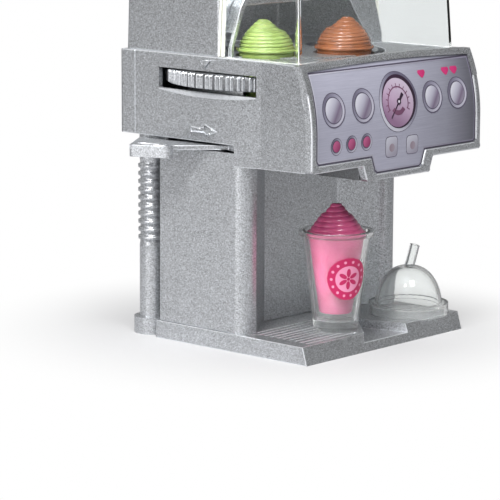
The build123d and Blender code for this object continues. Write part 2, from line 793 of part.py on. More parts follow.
with BuildPart() as dispense_lever:
    with BuildSketch(Plane.XY.offset(blade_bottom)):
        with BuildLine():
            Polyline(*blade_plan, close=True)
        make_face()
        with Locations(lever_pivot):
            Circle(lever_hub)
    extrude(amount=blade_thickness)
    with BuildSketch(Plane.XY.offset(blade_top - grip_height)):
        with BuildLine():
            Polyline(*grip_plan, close=True)
        make_face()
        fillet(vertices().sort_by(Axis.Y)[:2], grip_nose_round)
        fillet(vertices().sort_by(Axis.Y)[-2:], grip_heel_round)
    extrude(amount=grip_height)
    with BuildSketch(Plane.XY.offset(blade_top)):
        with Locations(lever_pivot):
            Circle(lever_hub)
    extrude(amount=arm_bottom - key_gap - blade_top)
    with BuildSketch(Plane.XY.offset(blade_top)):
        with Locations(lever_pivot):
            Rectangle(key_size, key_size, rotation=gate_angle)
    extrude(amount=key_top - blade_top)
    with BuildSketch(Plane.XY.offset(blade_bottom)):
        with Locations(lever_pivot):
            Circle(pin_radius + pin_gap)
    extrude(amount=key_top - blade_bottom, mode=Mode.SUBTRACT)
write(dispense_lever, "dispense_lever")

with BuildPart() as gate_arm:
    with BuildSketch(Plane.XY.offset(arm_bottom)):
        with Locations(lever_pivot):
            Circle(lever_hub)
        with Locations((pivot_x / 2, (pivot_y + drop_y) / 2)):
            Rectangle(gate_reach, arm_width, rotation=gate_angle)
        with Locations((0, drop_y)):
            Circle(gate_tip_radius)
        with Locations(lever_pivot):
            Rectangle(key_size + 2 * key_gap, key_size + 2 * key_gap, rotation=gate_angle,
                      mode=Mode.SUBTRACT)
    extrude(amount=arm_thickness)
    with BuildSketch(Plane.XY.offset(arm_bottom)):
        with Locations((0, drop_y)):
            Circle(gate_tip_radius)
    extrude(amount=gate_tip_top - arm_bottom)
write(gate_arm, "gate_arm")

with BuildPart() as lever_pin:
    with BuildSketch(Plane.XY.offset(blade_bottom - key_gap)):
        with Locations(lever_pivot):
            Circle(pin_radius)
    extrude(amount=deck_top - blade_bottom + key_gap)
    with BuildSketch(Plane.XY.offset(blade_bottom - key_gap)):
        with Locations(lever_pivot):
            Circle(pin_head_radius)
    extrude(amount=-pin_head)
write(lever_pin, "lever_pin")

# ---- Rear columns ------------------------------------------------------------------------
def column_points():
    """Profile of a ribbed column on its foot."""
    points = [(0, 0), (foot_radius, 0), (foot_radius, foot_height), (column_radius, foot_height)]
    for number in range(column_ribs):
        middle = column_rib_first + column_rib_pitch * number
        half = column_rib_pitch / 4
        points += [(rib_groove_radius, middle - half - 0.15), (rib_radius, middle - half + 0.15),
                   (rib_radius, middle + half - 0.15), (rib_groove_radius, middle + half + 0.15)]
    last = column_rib_first + column_rib_pitch * column_ribs
    points.insert(4, (column_radius, column_rib_first - column_rib_pitch))
    points += [(column_radius, last), (column_radius, head_underside), (0, head_underside)]
    return points


for side, label in ((-1, "rear_column_left"), (1, "rear_column_right")):
    with BuildPart() as rear_column:
        with BuildSketch(Plane.XZ):
            with BuildLine():
                Polyline(*column_points(), close=True)
            make_face()
        revolve(axis=Axis.Z)
    rear_column.part.locate(Location((side * (body_half_width - column_inset), column_y, 0)))
    write(rear_column, label)

# ---- Hopper, hood and bulkhead -------------------------------------------------------------
def hopper_form(inset, low, high, rear):
    """Leaning box of the hopper between two heights."""
    side_slope = tan(radians(hopper_side_lean))
    front_slope = tan(radians(hopper_front_lean))
    with BuildPart() as form:
        for z in (low, high):
            half = hopper_half_width - inset - side_slope * (z - head_top)
            front = hopper_front + inset + front_slope * (z - head_top)
            with BuildSketch(Plane.XY.offset(z)):
                with BuildLine():
                    Polyline((-half, rear), (-half, front), (half, front), (half, rear), close=True)
                make_face()
                if inset == 0:
                    fillet([v for v in vertices() if v.Y < rear - 1], hopper_round)
        loft()
    return form.part


with BuildPart() as hopper_cover:
    add(hopper_form(0, head_top, hopper_top, hood_front - cover_gap))
    add(hopper_form(thin_wall, head_top - 1, hopper_top + 1, hood_front), mode=Mode.SUBTRACT)
write(hopper_cover, "hopper_cover")


def bulkhead_outline(inset, low=head_top):
    """Front view of the bulkhead, narrower at the shoulder and at the top."""
    shoulder_half, shoulder_rise = bulkhead_shoulder
    top_half, top_rise = bulkhead_top
    top_z = head_top + top_rise
    side = bulkhead_half_width - inset
    right = [(side, low), (side, head_top + bulkhead_knee_rise),
             (shoulder_half - inset, head_top + shoulder_rise), (top_half - inset, top_z - inset)]
    with BuildSketch(Plane.XZ) as face:
        with BuildLine():
            Polyline(*mirrored(right), close=True)
        make_face()
        fillet([v for v in face.vertices() if v.Y > top_z - inset - tiny], bulkhead_round)
    return face.sketch_local


arch_points = [(arch_left[0][0], head_top - 1)]
arch_points += [(x, head_top + rise) for x, rise in arch_left + arch_right]
arch_points += [(arch_right[-1][0], head_top - 1)]
with BuildPart() as bulkhead:
    with BuildSketch(Plane.XZ.offset(-bulkhead_front)):
        add(bulkhead_outline(0))
    extrude(amount=-bulkhead_thickness)
    # lip that enters the hood
    with BuildSketch(Plane.XZ.offset(-bulkhead_front)):
        add(bulkhead_outline(bulkhead_lip))
        add(bulkhead_outline(bulkhead_lip + thin_wall), mode=Mode.SUBTRACT)
        Rectangle(far, 2 * (head_top + bulkhead_lip_rise), mode=Mode.SUBTRACT)
    extrude(amount=bulkhead_front - hood_front - hood_wall - joint_gap)
    with BuildSketch(Plane.XZ.offset(-bulkhead_front)):
        with BuildLine():
            Polyline(*arch_points, close=True)
        make_face()
    extrude(amount=-2 * bulkhead_thickness, mode=Mode.SUBTRACT)
write(bulkhead, "bulkhead")


def hood_form(inset, low, high):
    """Tapered block of the hood, inset by a wall."""
    with BuildPart() as form:
        with BuildSketch(Plane.XY.offset(low)):
            with Locations((0, (hood_front + hood_rear) / 2)):
                Rectangle(2 * (hood_half_width - inset), hood_rear - hood_front - 2 * inset)
        extrude(amount=high - low, taper=hood_lean)
        fillet([edge for edge in form.edges() if abs(edge.center().Z - (low + high) / 2) < 1], hood_corner)
        fillet(form.edges().group_by(Axis.Z)[-1], hood_round)
    return form.part


with BuildPart() as hood:
    add(hood_form(0, head_top, hood_top))
    add(hood_form(hood_wall, head_top, hood_top - hood_wall), mode=Mode.SUBTRACT)
    # the front opening follows the lip of the bulkhead
    with BuildSketch(Plane.XZ.offset(-hood_front + 1)):
        add(bulkhead_outline(bulkhead_lip - joint_gap))
    extrude(amount=-hood_wall - 2, mode=Mode.SUBTRACT)
write(hood, "hood")

# ---- Drinks, cup and lid ---------------------------------------------------------------
green_x, green_y = pocket_place(pocket_count - 1)
with BuildPart() as drink_brown:
    add(drink(0, drop_y, drink_rest, full_bulge))
write(drink_brown, "drink_brown")

with BuildPart() as drink_green:
    add(drink(green_x, green_y, drink_rest, full_bulge))
write(drink_green, "drink_green")

cup_x, cup_y = cup_centre
rim_low = base_height + cup_shoulder
rim_high = rim_low + cup_rim
cup_seat = rim_low - seat_drop  # step inside the cup that carries the brim of the drink
pink_rest = cup_seat - drink_shoulder
with BuildPart() as drink_pink:
    add(drink(cup_x, cup_y, pink_rest, slim_bulge))
write(drink_pink, "drink_pink")

with BuildPart() as cup:
    with BuildSketch(Plane.XZ):
        with BuildLine():
            Polyline((0, base_height), (cup_bottom_radius, base_height),
                     (cup_shoulder_radius, rim_low), (cup_rim_radius, rim_low),
                     (cup_rim_radius, rim_high), (brim_radius + cup_gap, rim_high),
                     (brim_radius + cup_gap, cup_seat), (drink_shoulder_radius + seat_gap, cup_seat),
                     (cup_bottom_radius - cup_wall, base_height + cup_floor),
                     (0, base_height + cup_floor), close=True)
        make_face()
    revolve(axis=Axis.Z)
cup.part.locate(Location((cup_x, cup_y, 0)))
write(cup, "cup")

lid_x, lid_y = lid_centre
dome_base = lid_ring_height
dome_rise = lid_height - dome_base


def dome_points(inset):
    """Quarter profile of the dome, as three points of its arc."""
    radius = lid_dome_radius - inset
    rise = dome_rise - inset
    return (radius, dome_base), (radius * 0.75, dome_base + rise * 0.66), (0, dome_base + rise)


straw_tilt = (sin(radians(straw_lean)) * cos(radians(straw_heading)),
              sin(radians(straw_lean)) * sin(radians(straw_heading)), cos(radians(straw_lean)))
straw_plane = Plane(origin=(0, 0, lid_height - lid_wall), z_dir=straw_tilt)
with BuildPart() as dome_lid:
    with BuildSketch(Plane.XZ):
        with BuildLine():
            outer_foot, outer_middle, outer_top = dome_points(0)
            Polyline((0, 0), (lid_ring_radius, 0), (lid_ring_radius, lid_ring_height), outer_foot)
            Spline(outer_foot, outer_middle, outer_top, tangents=((-0.1, 1), (-1, 0)))
            Line(outer_top, (0, 0))
        make_face()
    revolve(axis=Axis.Z)
    with BuildSketch(straw_plane):
        Circle(straw_radius)
    extrude(amount=straw_length)
    with BuildSketch(Plane.XZ):
        with BuildLine():
            inner_foot, inner_middle, inner_top = dome_points(lid_wall)
            ring_inner = lid_ring_radius - lid_wall
            Polyline((0, 0), (ring_inner, 0), (ring_inner, lid_ring_height - lid_wall),
                     (inner_foot[0], lid_ring_height - lid_wall), inner_foot)
            Spline(inner_foot, inner_middle, inner_top, tangents=((-0.1, 1), (-1, 0)))
            Line(inner_top, (0, 0))
        make_face()
    revolve(axis=Axis.Z, mode=Mode.SUBTRACT)
    with BuildSketch(straw_plane):
        Circle(straw_bore)
    extrude(amount=2 * straw_length, both=True, mode=Mode.SUBTRACT)
dome_lid.part.locate(Location((lid_x, lid_y, base_height)))
write(dome_lid, "dome_lid")

# ---- Screws ----------------------------------------------------------------------------
with BuildPart() as base_screws:
    with BuildSketch(Plane.XY):
        with Locations(*both_sides(base_screws_at)):
            Circle(screw_head_radius)
    extrude(amount=base_head_depth)
    with BuildSketch(Plane.XY):
        with Locations(*both_sides(base_screws_at)):
            Circle(screw_radius)
    extrude(amount=base_screw_length)
write(base_screws, "base_screws")

with BuildPart() as tower_screws:
    for side in (-1, 1):
        for height in tower_screw_heights:
            with BuildSketch(Plane.XZ.offset(-tower_rear)):
                with Locations((side * tower_screw_x, height)):
                    Circle(screw_head_radius)
            extrude(amount=screw_head)
            with BuildSketch(Plane.XZ.offset(-tower_rear)):
                with Locations((side * tower_screw_x, height)):
                    Circle(screw_radius)
            extrude(amount=tower_screw_length)
write(tower_screws, "tower_cover_screws")

with BuildPart() as rear_screws:
    for side in (-1, 1):
        with BuildSketch(Plane.XZ.offset(-head_rear)):
            with Locations((side * rear_screw_x, rear_screw_z)):
                Circle(screw_head_radius)
        extrude(amount=screw_head)
        with BuildSketch(Plane.XZ.offset(-head_rear)):
            with Locations((side * rear_screw_x, rear_screw_z)):
                Circle(screw_radius)
        extrude(amount=head_rear - rear_seam + rear_screw_length - 1)
write(rear_screws, "rear_cover_screws")

with BuildPart() as deck_screws:
    with BuildSketch(Plane.XY.offset(deck_top)):
        with Locations(*both_sides(deck_screws_at)):
            Circle(screw_head_radius)
    extrude(amount=screw_head)
    with BuildSketch(Plane.XY.offset(deck_top)):
        with Locations(*both_sides(deck_screws_at)):
            Circle(screw_radius)
    extrude(amount=-deck_thickness - floor_thickness)
write(deck_screws, "deck_screws")
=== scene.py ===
import json
from math import atan2, cos, pi, radians, sin, sqrt

import bpy
from mathutils import Matrix, Vector


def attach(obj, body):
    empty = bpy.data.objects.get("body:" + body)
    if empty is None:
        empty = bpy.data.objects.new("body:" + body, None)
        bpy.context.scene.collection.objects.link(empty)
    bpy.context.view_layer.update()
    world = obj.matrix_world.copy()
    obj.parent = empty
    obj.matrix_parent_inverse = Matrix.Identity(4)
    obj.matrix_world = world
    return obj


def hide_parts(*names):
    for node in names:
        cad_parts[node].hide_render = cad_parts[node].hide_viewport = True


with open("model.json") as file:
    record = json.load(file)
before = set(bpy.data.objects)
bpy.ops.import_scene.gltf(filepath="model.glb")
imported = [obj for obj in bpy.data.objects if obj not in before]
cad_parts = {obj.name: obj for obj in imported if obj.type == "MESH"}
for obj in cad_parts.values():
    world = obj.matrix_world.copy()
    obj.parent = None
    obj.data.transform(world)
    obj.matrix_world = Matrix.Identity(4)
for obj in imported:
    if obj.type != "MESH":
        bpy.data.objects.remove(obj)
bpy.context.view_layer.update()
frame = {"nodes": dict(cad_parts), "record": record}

nodes = frame["nodes"]
MM = 0.001


# ---- Sizes shared with the solids, in millimetres -----------------------------------------------
BODY_SIDE = 35.7                # the body's left and right walls, from the middle
HEAD_TOP = 85.7
DECK_TOP = 64.05                # what the drinks in the carousel stand on
WHEEL = (-3.8, -3.2)            # axis of the carousel and its thumb ring
POCKET_CIRCLE = 20.4
POCKET_STEP = radians(72)
DROP_Y = WHEEL[1] - sqrt(POCKET_CIRCLE**2 - WHEEL[0]**2)
GREEN_TURN = atan2(DROP_Y - WHEEL[1], -WHEEL[0]) + 4 * POCKET_STEP
GREEN_PLACE = (WHEEL[0] + POCKET_CIRCLE * cos(GREEN_TURN),
               WHEEL[1] + POCKET_CIRCLE * sin(GREEN_TURN))
CUP_PLACE = (-9.8, -29.8)
CUP_FOOT = 5.3
PINK_FOOT = 10.6                # the pink drink's foot, inside the cup


# ---- Camera -------------------------------------------------------------------------------------
# Degrees and millimetres, fitted to the straight edges of the part in the photograph.
CAMERA_AZIMUTH, CAMERA_ELEVATION, CAMERA_ROLL = -48.19, 10.05, 0.27
CAMERA_PLACE = (-588.21, -513.21, 162.31)
CAMERA_LENS = 187.94


def place_camera():
    """Stands where the photographer stood, on the left front and a little above."""
    azimuth, elevation, roll = (radians(turn) for turn in
                                (CAMERA_AZIMUTH, CAMERA_ELEVATION, CAMERA_ROLL))
    location = Vector(CAMERA_PLACE) * MM
    back = Vector((sin(azimuth) * cos(elevation), -cos(azimuth) * cos(elevation), sin(elevation)))
    right = Vector((cos(azimuth), sin(azimuth), 0.0))
    up = back.cross(right)
    axis_x = right * cos(roll) + up * sin(roll)
    axis_y = up * cos(roll) - right * sin(roll)
    data = bpy.data.cameras.new("camera")
    data.sensor_width = 36.0
    data.lens = CAMERA_LENS
    data.clip_start = 0.05
    data.clip_end = 20.0
    camera = bpy.data.objects.new("camera", data)
    bpy.context.scene.collection.objects.link(camera)
    rotation = Matrix((axis_x, axis_y, back)).transposed().to_4x4()
    camera.matrix_world = Matrix.Translation(location) @ rotation
    bpy.context.scene.camera = camera


# ---- Material helpers ---------------------------------------------------------------------------
def new_material(name, color, roughness, metallic=0.0, coat=0.0, specular=0.5):
    """Principled material with its constants on the shader's own sockets."""
    material = bpy.data.materials.new(name)
    material.use_nodes = True
    tree = material.node_tree
    shader = tree.nodes["Principled BSDF"]
    shader.inputs["Base Color"].default_value = (*color, 1.0)
    shader.inputs["Roughness"].default_value = roughness
    shader.inputs["Metallic"].default_value = metallic
    shader.inputs["Coat Weight"].default_value = coat
    shader.inputs["Coat Roughness"].default_value = 0.08
    shader.inputs["Specular IOR Level"].default_value = specular
    return material, tree, shader


# A turn that keeps the lattice of the textures off the flat faces.
GRAIN_TURN = (0.5, 0.8, 0.3)
# Places of a Mix node's colour sockets, whose names it uses for other types too.
COLOR_A, COLOR_B, COLOR_RESULT = 6, 7, 2


def object_position(tree, scale=(1.0, 1.0, 1.0)):
    """Object-space position, stretched by a scale."""
    coordinate = tree.nodes.new("ShaderNodeTexCoord")
    mapping = tree.nodes.new("ShaderNodeMapping")
    mapping.inputs["Scale"].default_value = scale
    mapping.inputs["Rotation"].default_value = GRAIN_TURN
    tree.links.new(coordinate.outputs["Object"], mapping.inputs["Vector"])
    return mapping.outputs["Vector"]


def noise(tree, vector, scale, detail=2.0, rough=0.5):
    """Noise texture value at a scale per metre."""
    texture = tree.nodes.new("ShaderNodeTexNoise")
    texture.inputs["Scale"].default_value = scale
    texture.inputs["Detail"].default_value = detail
    texture.inputs["Roughness"].default_value = rough
    tree.links.new(vector, texture.inputs["Vector"])
    return texture.outputs["Fac"]


def flakes(tree, vector, scale):
    """Random colour in each cell of a texture, at cells per metre."""
    texture = tree.nodes.new("ShaderNodeTexVoronoi")
    texture.inputs["Scale"].default_value = scale
    tree.links.new(vector, texture.inputs["Vector"])
    return texture.outputs["Color"]


def ramp(tree, value, stops):
    """Colour ramp with (position, colour) stops."""
    node = tree.nodes.new("ShaderNodeValToRGB")
    elements = node.color_ramp.elements
    while len(elements) < len(stops):
        elements.new(0.5)
    for element, (position, color) in zip(elements, stops):
        element.position = position
        element.color = (*color, 1.0)
    tree.links.new(value, node.inputs["Fac"])
    return node.outputs["Color"]


def grey(level):
    """Neutral colour of a level."""
    return (level, level, level)


def srgb(*levels):
    """Linear colour of 0-255 display levels."""
    shares = [level / 255 for level in levels]
    return tuple(c / 12.92 if c <= 0.04045 else ((c + 0.055) / 1.055)**2.4 for c in shares)


def multiply_colors(tree, first, second):
    """Product of two colour sockets."""
    node = tree.nodes.new("ShaderNodeMix")
    node.data_type = "RGBA"
    node.blend_type = "MULTIPLY"
    node.inputs["Factor"].default_value = 1.0
    tree.links.new(first, node.inputs[COLOR_A])
    tree.links.new(second, node.inputs[COLOR_B])
    return node.outputs[COLOR_RESULT]


def connect(tree, socket, value):
    """Sets an input to a number or a tuple, or links another node's output to it."""
    if isinstance(value, (float, tuple)):
        socket.default_value = value
    else:
        tree.links.new(value, socket)


def maths(tree, operation, *values, clamp=False):
    """Output of a Math node on sockets and numbers."""
    node = tree.nodes.new("ShaderNodeMath")
    node.operation = operation
    node.use_clamp = clamp
    for socket, value in zip(node.inputs, values):
        connect(tree, socket, value)
    return node.outputs["Value"]


def vector_maths(tree, operation, result, *values):
    """One output of a Vector Math node on sockets and tuples."""
    node = tree.nodes.new("ShaderNodeVectorMath")
    node.operation = operation
    for socket, value in zip(node.inputs, values):
        connect(tree, socket, value)
    return node.outputs[result]


def span_share(tree, value, low, high, smooth=False):
    """How far a value lies between two ends, from 0 to 1."""
    node = tree.nodes.new("ShaderNodeMapRange")
    if smooth:
        node.interpolation_type = "SMOOTHSTEP"
    node.inputs["From Min"].default_value = low
    node.inputs["From Max"].default_value = high
    tree.links.new(value, node.inputs["Value"])
    return node.outputs["Result"]


def blend_shaders(tree, factor, first, second):
    """Mix Shader node between two shaders."""
    node = tree.nodes.new("ShaderNodeMixShader")
    for socket, value in zip(node.inputs, (factor, first, second)):
        tree.links.new(value, socket)
    return node.outputs["Shader"]


def before_bounce(tree, rays, glossy_counts=True):
    """One on rays of these kinds before their first bounce off a matt surface.

    A bounce off a shiny surface ends it too, if glossy_counts is set.
    """
    path = tree.nodes.new("ShaderNodeLightPath")
    bounces = path.outputs["Diffuse Depth"]
    if glossy_counts:
        bounces = maths(tree, "ADD", bounces, path.outputs["Glossy Depth"])
    kinds = path.outputs[rays[0]]
    for ray in rays[1:]:
        kinds = maths(tree, "MAXIMUM", kinds, path.outputs[ray])
    return maths(tree, "MULTIPLY", maths(tree, "LESS_THAN", bounces, 0.5), kinds)


def add_bump(tree, shader, height, strength, distance):
    """Bump from a height socket."""
    bump = tree.nodes.new("ShaderNodeBump")
    bump.inputs["Strength"].default_value = strength
    bump.inputs["Distance"].default_value = distance
    tree.links.new(height, bump.inputs["Height"])
    tree.links.new(bump.outputs["Normal"], shader.inputs["Normal"])


# ---- Materials ----------------------------------------------------------------------------------
# Texture sizes per metre, and the bluish tint of the silver plastic.
FLAKE_SCALE = 7500.0
GRAIN_SCALE = 3600.0
CLOUD_SCALE = 45.0
SILVER_TINT = (0.94, 0.965, 1.0)


def silver_material(name, low, high, roughness=0.34, metallic=0.85):
    """Grey plastic with metal flake: light and dark specks under a satin surface."""
    material, tree, shader = new_material(name, grey(0.4), roughness, metallic, specular=0.35)
    position = object_position(tree)
    dark, light = ([level * c for c in SILVER_TINT] for level in (low, high))
    specks = ramp(tree, flakes(tree, position, FLAKE_SCALE), ((0.15, dark), (0.85, light)))
    cloud = noise(tree, position, CLOUD_SCALE, detail=1.0)
    shade = ramp(tree, cloud, ((0.3, grey(0.95)), (0.7, grey(1.0))))
    tree.links.new(multiply_colors(tree, specks, shade), shader.inputs["Base Color"])
    add_bump(tree, shader, noise(tree, position, GRAIN_SCALE, detail=1.0), 0.12, 0.00003)
    return material


def inner_material():
    """Plain grey plastic of the pieces inside."""
    material, tree, shader = new_material("inner_plastic", grey(0.3), 0.45)
    cloud = noise(tree, object_position(tree), 400.0)
    color = ramp(tree, cloud, ((0.3, grey(0.27)), (0.7, grey(0.33))))
    tree.links.new(color, shader.inputs["Base Color"])
    add_bump(tree, shader, cloud, 0.15, 0.00005)
    return material


# Share of the light that each clear wall lets through to what is behind it.
PASSES = 0.92


def clear_material(name, tint=(0.97, 0.985, 0.98), roughness=0.03, clear=1.0):
    """Clear moulded plastic with faint flow marks, which takes little of the lamps' light."""
    material, tree, shader = new_material(name, tint, roughness)
    shader.inputs["Transmission Weight"].default_value = clear
    shader.inputs["IOR"].default_value = 1.42
    flow = noise(tree, object_position(tree, (1.0, 1.0, 0.25)), 160.0, detail=1.0)
    add_bump(tree, shader, flow, 0.12, 0.0001)
    path = tree.nodes.new("ShaderNodeLightPath")
    through = tree.nodes.new("ShaderNodeBsdfTransparent")
    through.inputs["Color"].default_value = (*grey(PASSES), 1.0)
    surface = blend_shaders(tree, path.outputs["Is Shadow Ray"], shader.outputs["BSDF"],
                            through.outputs["BSDF"])
    tree.links.new(surface, tree.nodes["Material Output"].inputs["Surface"])
    return material


def drink_material(name, color, dark):
    """Glossy moulded plastic with a slightly uneven colour."""
    material, tree, shader = new_material(name, color, 0.26, coat=0.35)
    shader.inputs["Subsurface Weight"].default_value = 0.12
    shader.inputs["Subsurface Scale"].default_value = 0.0015
    shader.inputs["Subsurface Radius"].default_value = (1.0, 0.5, 0.3)
    cloud = noise(tree, object_position(tree), 260.0)
    tree.links.new(ramp(tree, cloud, ((0.25, dark), (0.65, color))), shader.inputs["Base Color"])
    add_bump(tree, shader, cloud, 0.1, 0.0001)
    return material


# Half the label's width in metres, over which painted shade darkens its print to the right.
LABEL_REACH = 0.037


def label_material():
    """Printed brushed-metal film with fine level streaks, under painted light: a painted highlight
    near the left and painted shade darker towards the right edge.
    """
    material, tree, shader = new_material("label_print", (0.4, 0.4, 0.5), 0.34, metallic=0.2)
    streaks = noise(tree, object_position(tree, (0.02, 0.02, 1.0)), 5200.0, detail=4.0, rough=0.7)
    print_color = ramp(tree, streaks, ((0.3, (0.45, 0.45, 0.56)), (0.7, (0.57, 0.57, 0.68))))
    coordinate = tree.nodes.new("ShaderNodeTexCoord")
    split = tree.nodes.new("ShaderNodeSeparateXYZ")
    tree.links.new(coordinate.outputs["Object"], split.inputs["Vector"])
    # Painted light across the label: a painted highlight near its left edge and painted shade that
    # darkens it towards the right.
    shade = ramp(tree, span_share(tree, split.outputs["X"], -LABEL_REACH, LABEL_REACH),
                 ((0.0, grey(0.9)), (0.12, grey(0.98)), (0.55, grey(0.92)), (0.8, grey(0.68)),
                  (0.97, grey(0.3))))
    tree.links.new(multiply_colors(tree, print_color, shade), shader.inputs["Base Color"])
    add_bump(tree, shader, streaks, 0.08, 0.00003)
    return material


def print_material(name, stops, turn):
    """Printed ink that shades across its piece; turn is the direction of the last stop."""
    material, tree, shader = new_material(name, stops[-1][1], 0.4)
    coordinate = tree.nodes.new("ShaderNodeTexCoord")
    centred = vector_maths(tree, "SUBTRACT", "Vector", coordinate.outputs["UV"], (0.5, 0.5, 0.0))
    way = (cos(turn), sin(turn), 0.0)
    along = vector_maths(tree, "DOT_PRODUCT", "Value", centred, way)
    color = ramp(tree, maths(tree, "ADD", along, 0.5), stops)
    tree.links.new(color, shader.inputs["Base Color"])
    return material


def steel_material():
    """Zinc plated steel of the screws."""
    material, tree, shader = new_material("screw_steel", grey(0.55), 0.3, metallic=1.0)
    cloud = noise(tree, object_position(tree), 900.0)
    color = ramp(tree, cloud, ((0.3, grey(0.45)), (0.7, grey(0.62))))
    tree.links.new(color, shader.inputs["Base Color"])
    return material


SILVER = silver_material("silver_plastic", 0.18, 0.97)
# Lit copy of the silver: a painted highlight on the rounded edges and on the lip under the wheel
# slot.
EDGE_HIGHLIGHT_SILVER = silver_material("edge_highlight_silver", 0.65, 0.95, roughness=0.3, metallic=0.6)
# Lit copy of the silver: a painted highlight on the thumb ring's ribs and on the raised marks of
# the left wall.
RAISED_HIGHLIGHT_SILVER = silver_material("raised_highlight_silver", 0.5, 0.9, roughness=0.25, metallic=0.9)
# Shaded copy of the silver: painted shade in the thumb ring's grooves and on the chute under the
# head.
PAINTED_SHADE_SILVER = silver_material("painted_shade_silver", 0.12, 0.3)
INNER = inner_material()
CLEAR = clear_material("clear_plastic", roughness=0.05, clear=0.95)
HOPPER_CLEAR = clear_material("hopper_clear", tint=(0.93, 0.95, 0.95))
# Whiter copy of the clear plastic: a painted highlight on the rounded edges of the hopper cover.
EDGE_HIGHLIGHT_CLEAR = clear_material("clear_edge_highlight", roughness=0.15, clear=0.5)
LABEL = label_material()
STEEL = steel_material()
GREEN = drink_material("green_plastic", (0.28, 0.37, 0.115), (0.2, 0.28, 0.065))
BROWN = drink_material("brown_plastic", (0.28, 0.095, 0.036), (0.19, 0.062, 0.022))
PINK = drink_material("pink_plastic", (0.76, 0.13, 0.31), (0.62, 0.085, 0.23))

SLOT_MATERIAL = {
    "silver_plastic": SILVER,
    "inner_plastic": INNER,
    "label_print": LABEL,
    "clear_plastic": CLEAR,
    "green_plastic": GREEN,
    "brown_plastic": BROWN,
    "pink_plastic": PINK,
    "screw_steel": STEEL,
}


# ---- The solids' looks --------------------------------------------------------------------------
# Width of the rounding of each piece's edges.
BEVELS = {
    "front_shell": 0.3, "head_top": 0.3, "front_fascia": 0.4, "rear_cover": 0.3, "base_tray": 0.2,
    "bulkhead": 0.25, "hood": 0.3, "chute": 0.2, "dispense_lever": 0.25, "hopper_cover": 0.2,
    "rear_column_left": 0.2, "rear_column_right": 0.2,
}


# Shorter edges and flatter ones stay as they are.
SHORTEST_EDGE = 0.9
SHARP_ANGLE = radians(40)
# Spans along an axis in which a piece's edges run on into its neighbour and stay sharp.
JOINED_EDGES = {
    "front_shell": (("Z", 79.2, 83.95), ("Y", -43.4, -42.0)),
    "head_top": (("Z", 79.2, 83.95), ("Y", -43.4, -38.0)),
    "front_fascia": (("Y", -43.4, -30.0),),
}


def edge_weights(name):
    """Node group that marks the sharp edges of a piece for the bevel, without its joined edges."""
    group = bpy.data.node_groups.new(f"{name}_edges", "GeometryNodeTree")
    group.interface.new_socket(name="Geometry", in_out="INPUT", socket_type="NodeSocketGeometry")
    group.interface.new_socket(name="Geometry", in_out="OUTPUT", socket_type="NodeSocketGeometry")
    incoming = group.nodes.new("NodeGroupInput")
    outgoing = group.nodes.new("NodeGroupOutput")
    angle = group.nodes.new("GeometryNodeInputMeshEdgeAngle")
    sharp = maths(group, "GREATER_THAN", angle.outputs["Unsigned Angle"], SHARP_ANGLE)
    ends = group.nodes.new("GeometryNodeInputMeshEdgeVertices")
    length = vector_maths(group, "DISTANCE", "Value", ends.outputs["Position 1"],
                          ends.outputs["Position 2"])
    long_enough = maths(group, "GREATER_THAN", length, SHORTEST_EDGE * MM)
    weight = maths(group, "MULTIPLY", sharp, long_enough)
    place = group.nodes.new("GeometryNodeInputPosition")
    split = group.nodes.new("ShaderNodeSeparateXYZ")
    group.links.new(place.outputs["Position"], split.inputs["Vector"])
    for axis, low, high in JOINED_EDGES.get(name, ()):
        middle, reach = (low + high) / 2 * MM, (high - low) / 2 * MM
        inside = maths(group, "COMPARE", split.outputs[axis], middle, reach)
        weight = maths(group, "SUBTRACT", weight, inside, clamp=True)
    store = group.nodes.new("GeometryNodeStoreNamedAttribute")
    store.data_type = "FLOAT"
    store.domain = "EDGE"
    store.inputs["Name"].default_value = "bevel_weight_edge"
    group.links.new(incoming.outputs["Geometry"], store.inputs["Geometry"])
    group.links.new(weight, store.inputs["Value"])
    group.links.new(store.outputs["Geometry"], outgoing.inputs["Geometry"])
    return group


def dress_cad_nodes():
    """Gives every solid the material of its slot, and rounds the moulded edges a little, with a
    painted highlight on the rounded edges of most of them.
    """
    for entry in frame["record"]["subparts"]:
        obj = nodes[entry["node"]]
        obj.data.materials.clear()
        obj.data.materials.append(SLOT_MATERIAL[entry["material_slot"]])
    nodes["hopper_cover"].data.materials[0] = HOPPER_CLEAR
    # Painted shade: the chute takes the shaded silver for the shadow under the head.
    nodes["chute"].data.materials[0] = PAINTED_SHADE_SILVER
    for name, width in BEVELS.items():
        obj = nodes[name]
        weld = obj.modifiers.new("weld", "WELD")
        weld.merge_threshold = 0.002 * MM
        marks = obj.modifiers.new("marks", "NODES")
        marks.node_group = edge_weights(name)
        bevel = obj.modifiers.new("bevel", "BEVEL")
        bevel.width = width * MM
        bevel.segments = 2
        bevel.limit_method = "WEIGHT"
        bevel.use_clamp_overlap = False
        bevel.harden_normals = False
        # Rounded edges take a lit copy of the piece's material: a painted highlight.
        edge = {SILVER: EDGE_HIGHLIGHT_SILVER, HOPPER_CLEAR: EDGE_HIGHLIGHT_CLEAR}.get(obj.data.materials[0])
        if edge:
            obj.data.materials.append(edge)
            bevel.material = 1
        flat = obj.modifiers.new("flat", "WEIGHTED_NORMAL")
        flat.weight = 50
        flat.keep_sharp = True


# ---- Meshes -------------------------------------------------------------------------------------
def mesh_piece(name, verts, faces, materials, slots=None, smooth=True):
    """Object from millimetre vertices, with one material slot per face."""
    mesh = bpy.data.meshes.new(name)
    mesh.from_pydata([Vector(v) * MM for v in verts], [], faces)
    for material in materials:
        mesh.materials.append(material)
    for index, polygon in enumerate(mesh.polygons):
        polygon.use_smooth = smooth
        polygon.material_index = slots[index] if slots else 0
    obj = bpy.data.objects.new(name, mesh)
    bpy.context.scene.collection.objects.link(obj)
    return obj


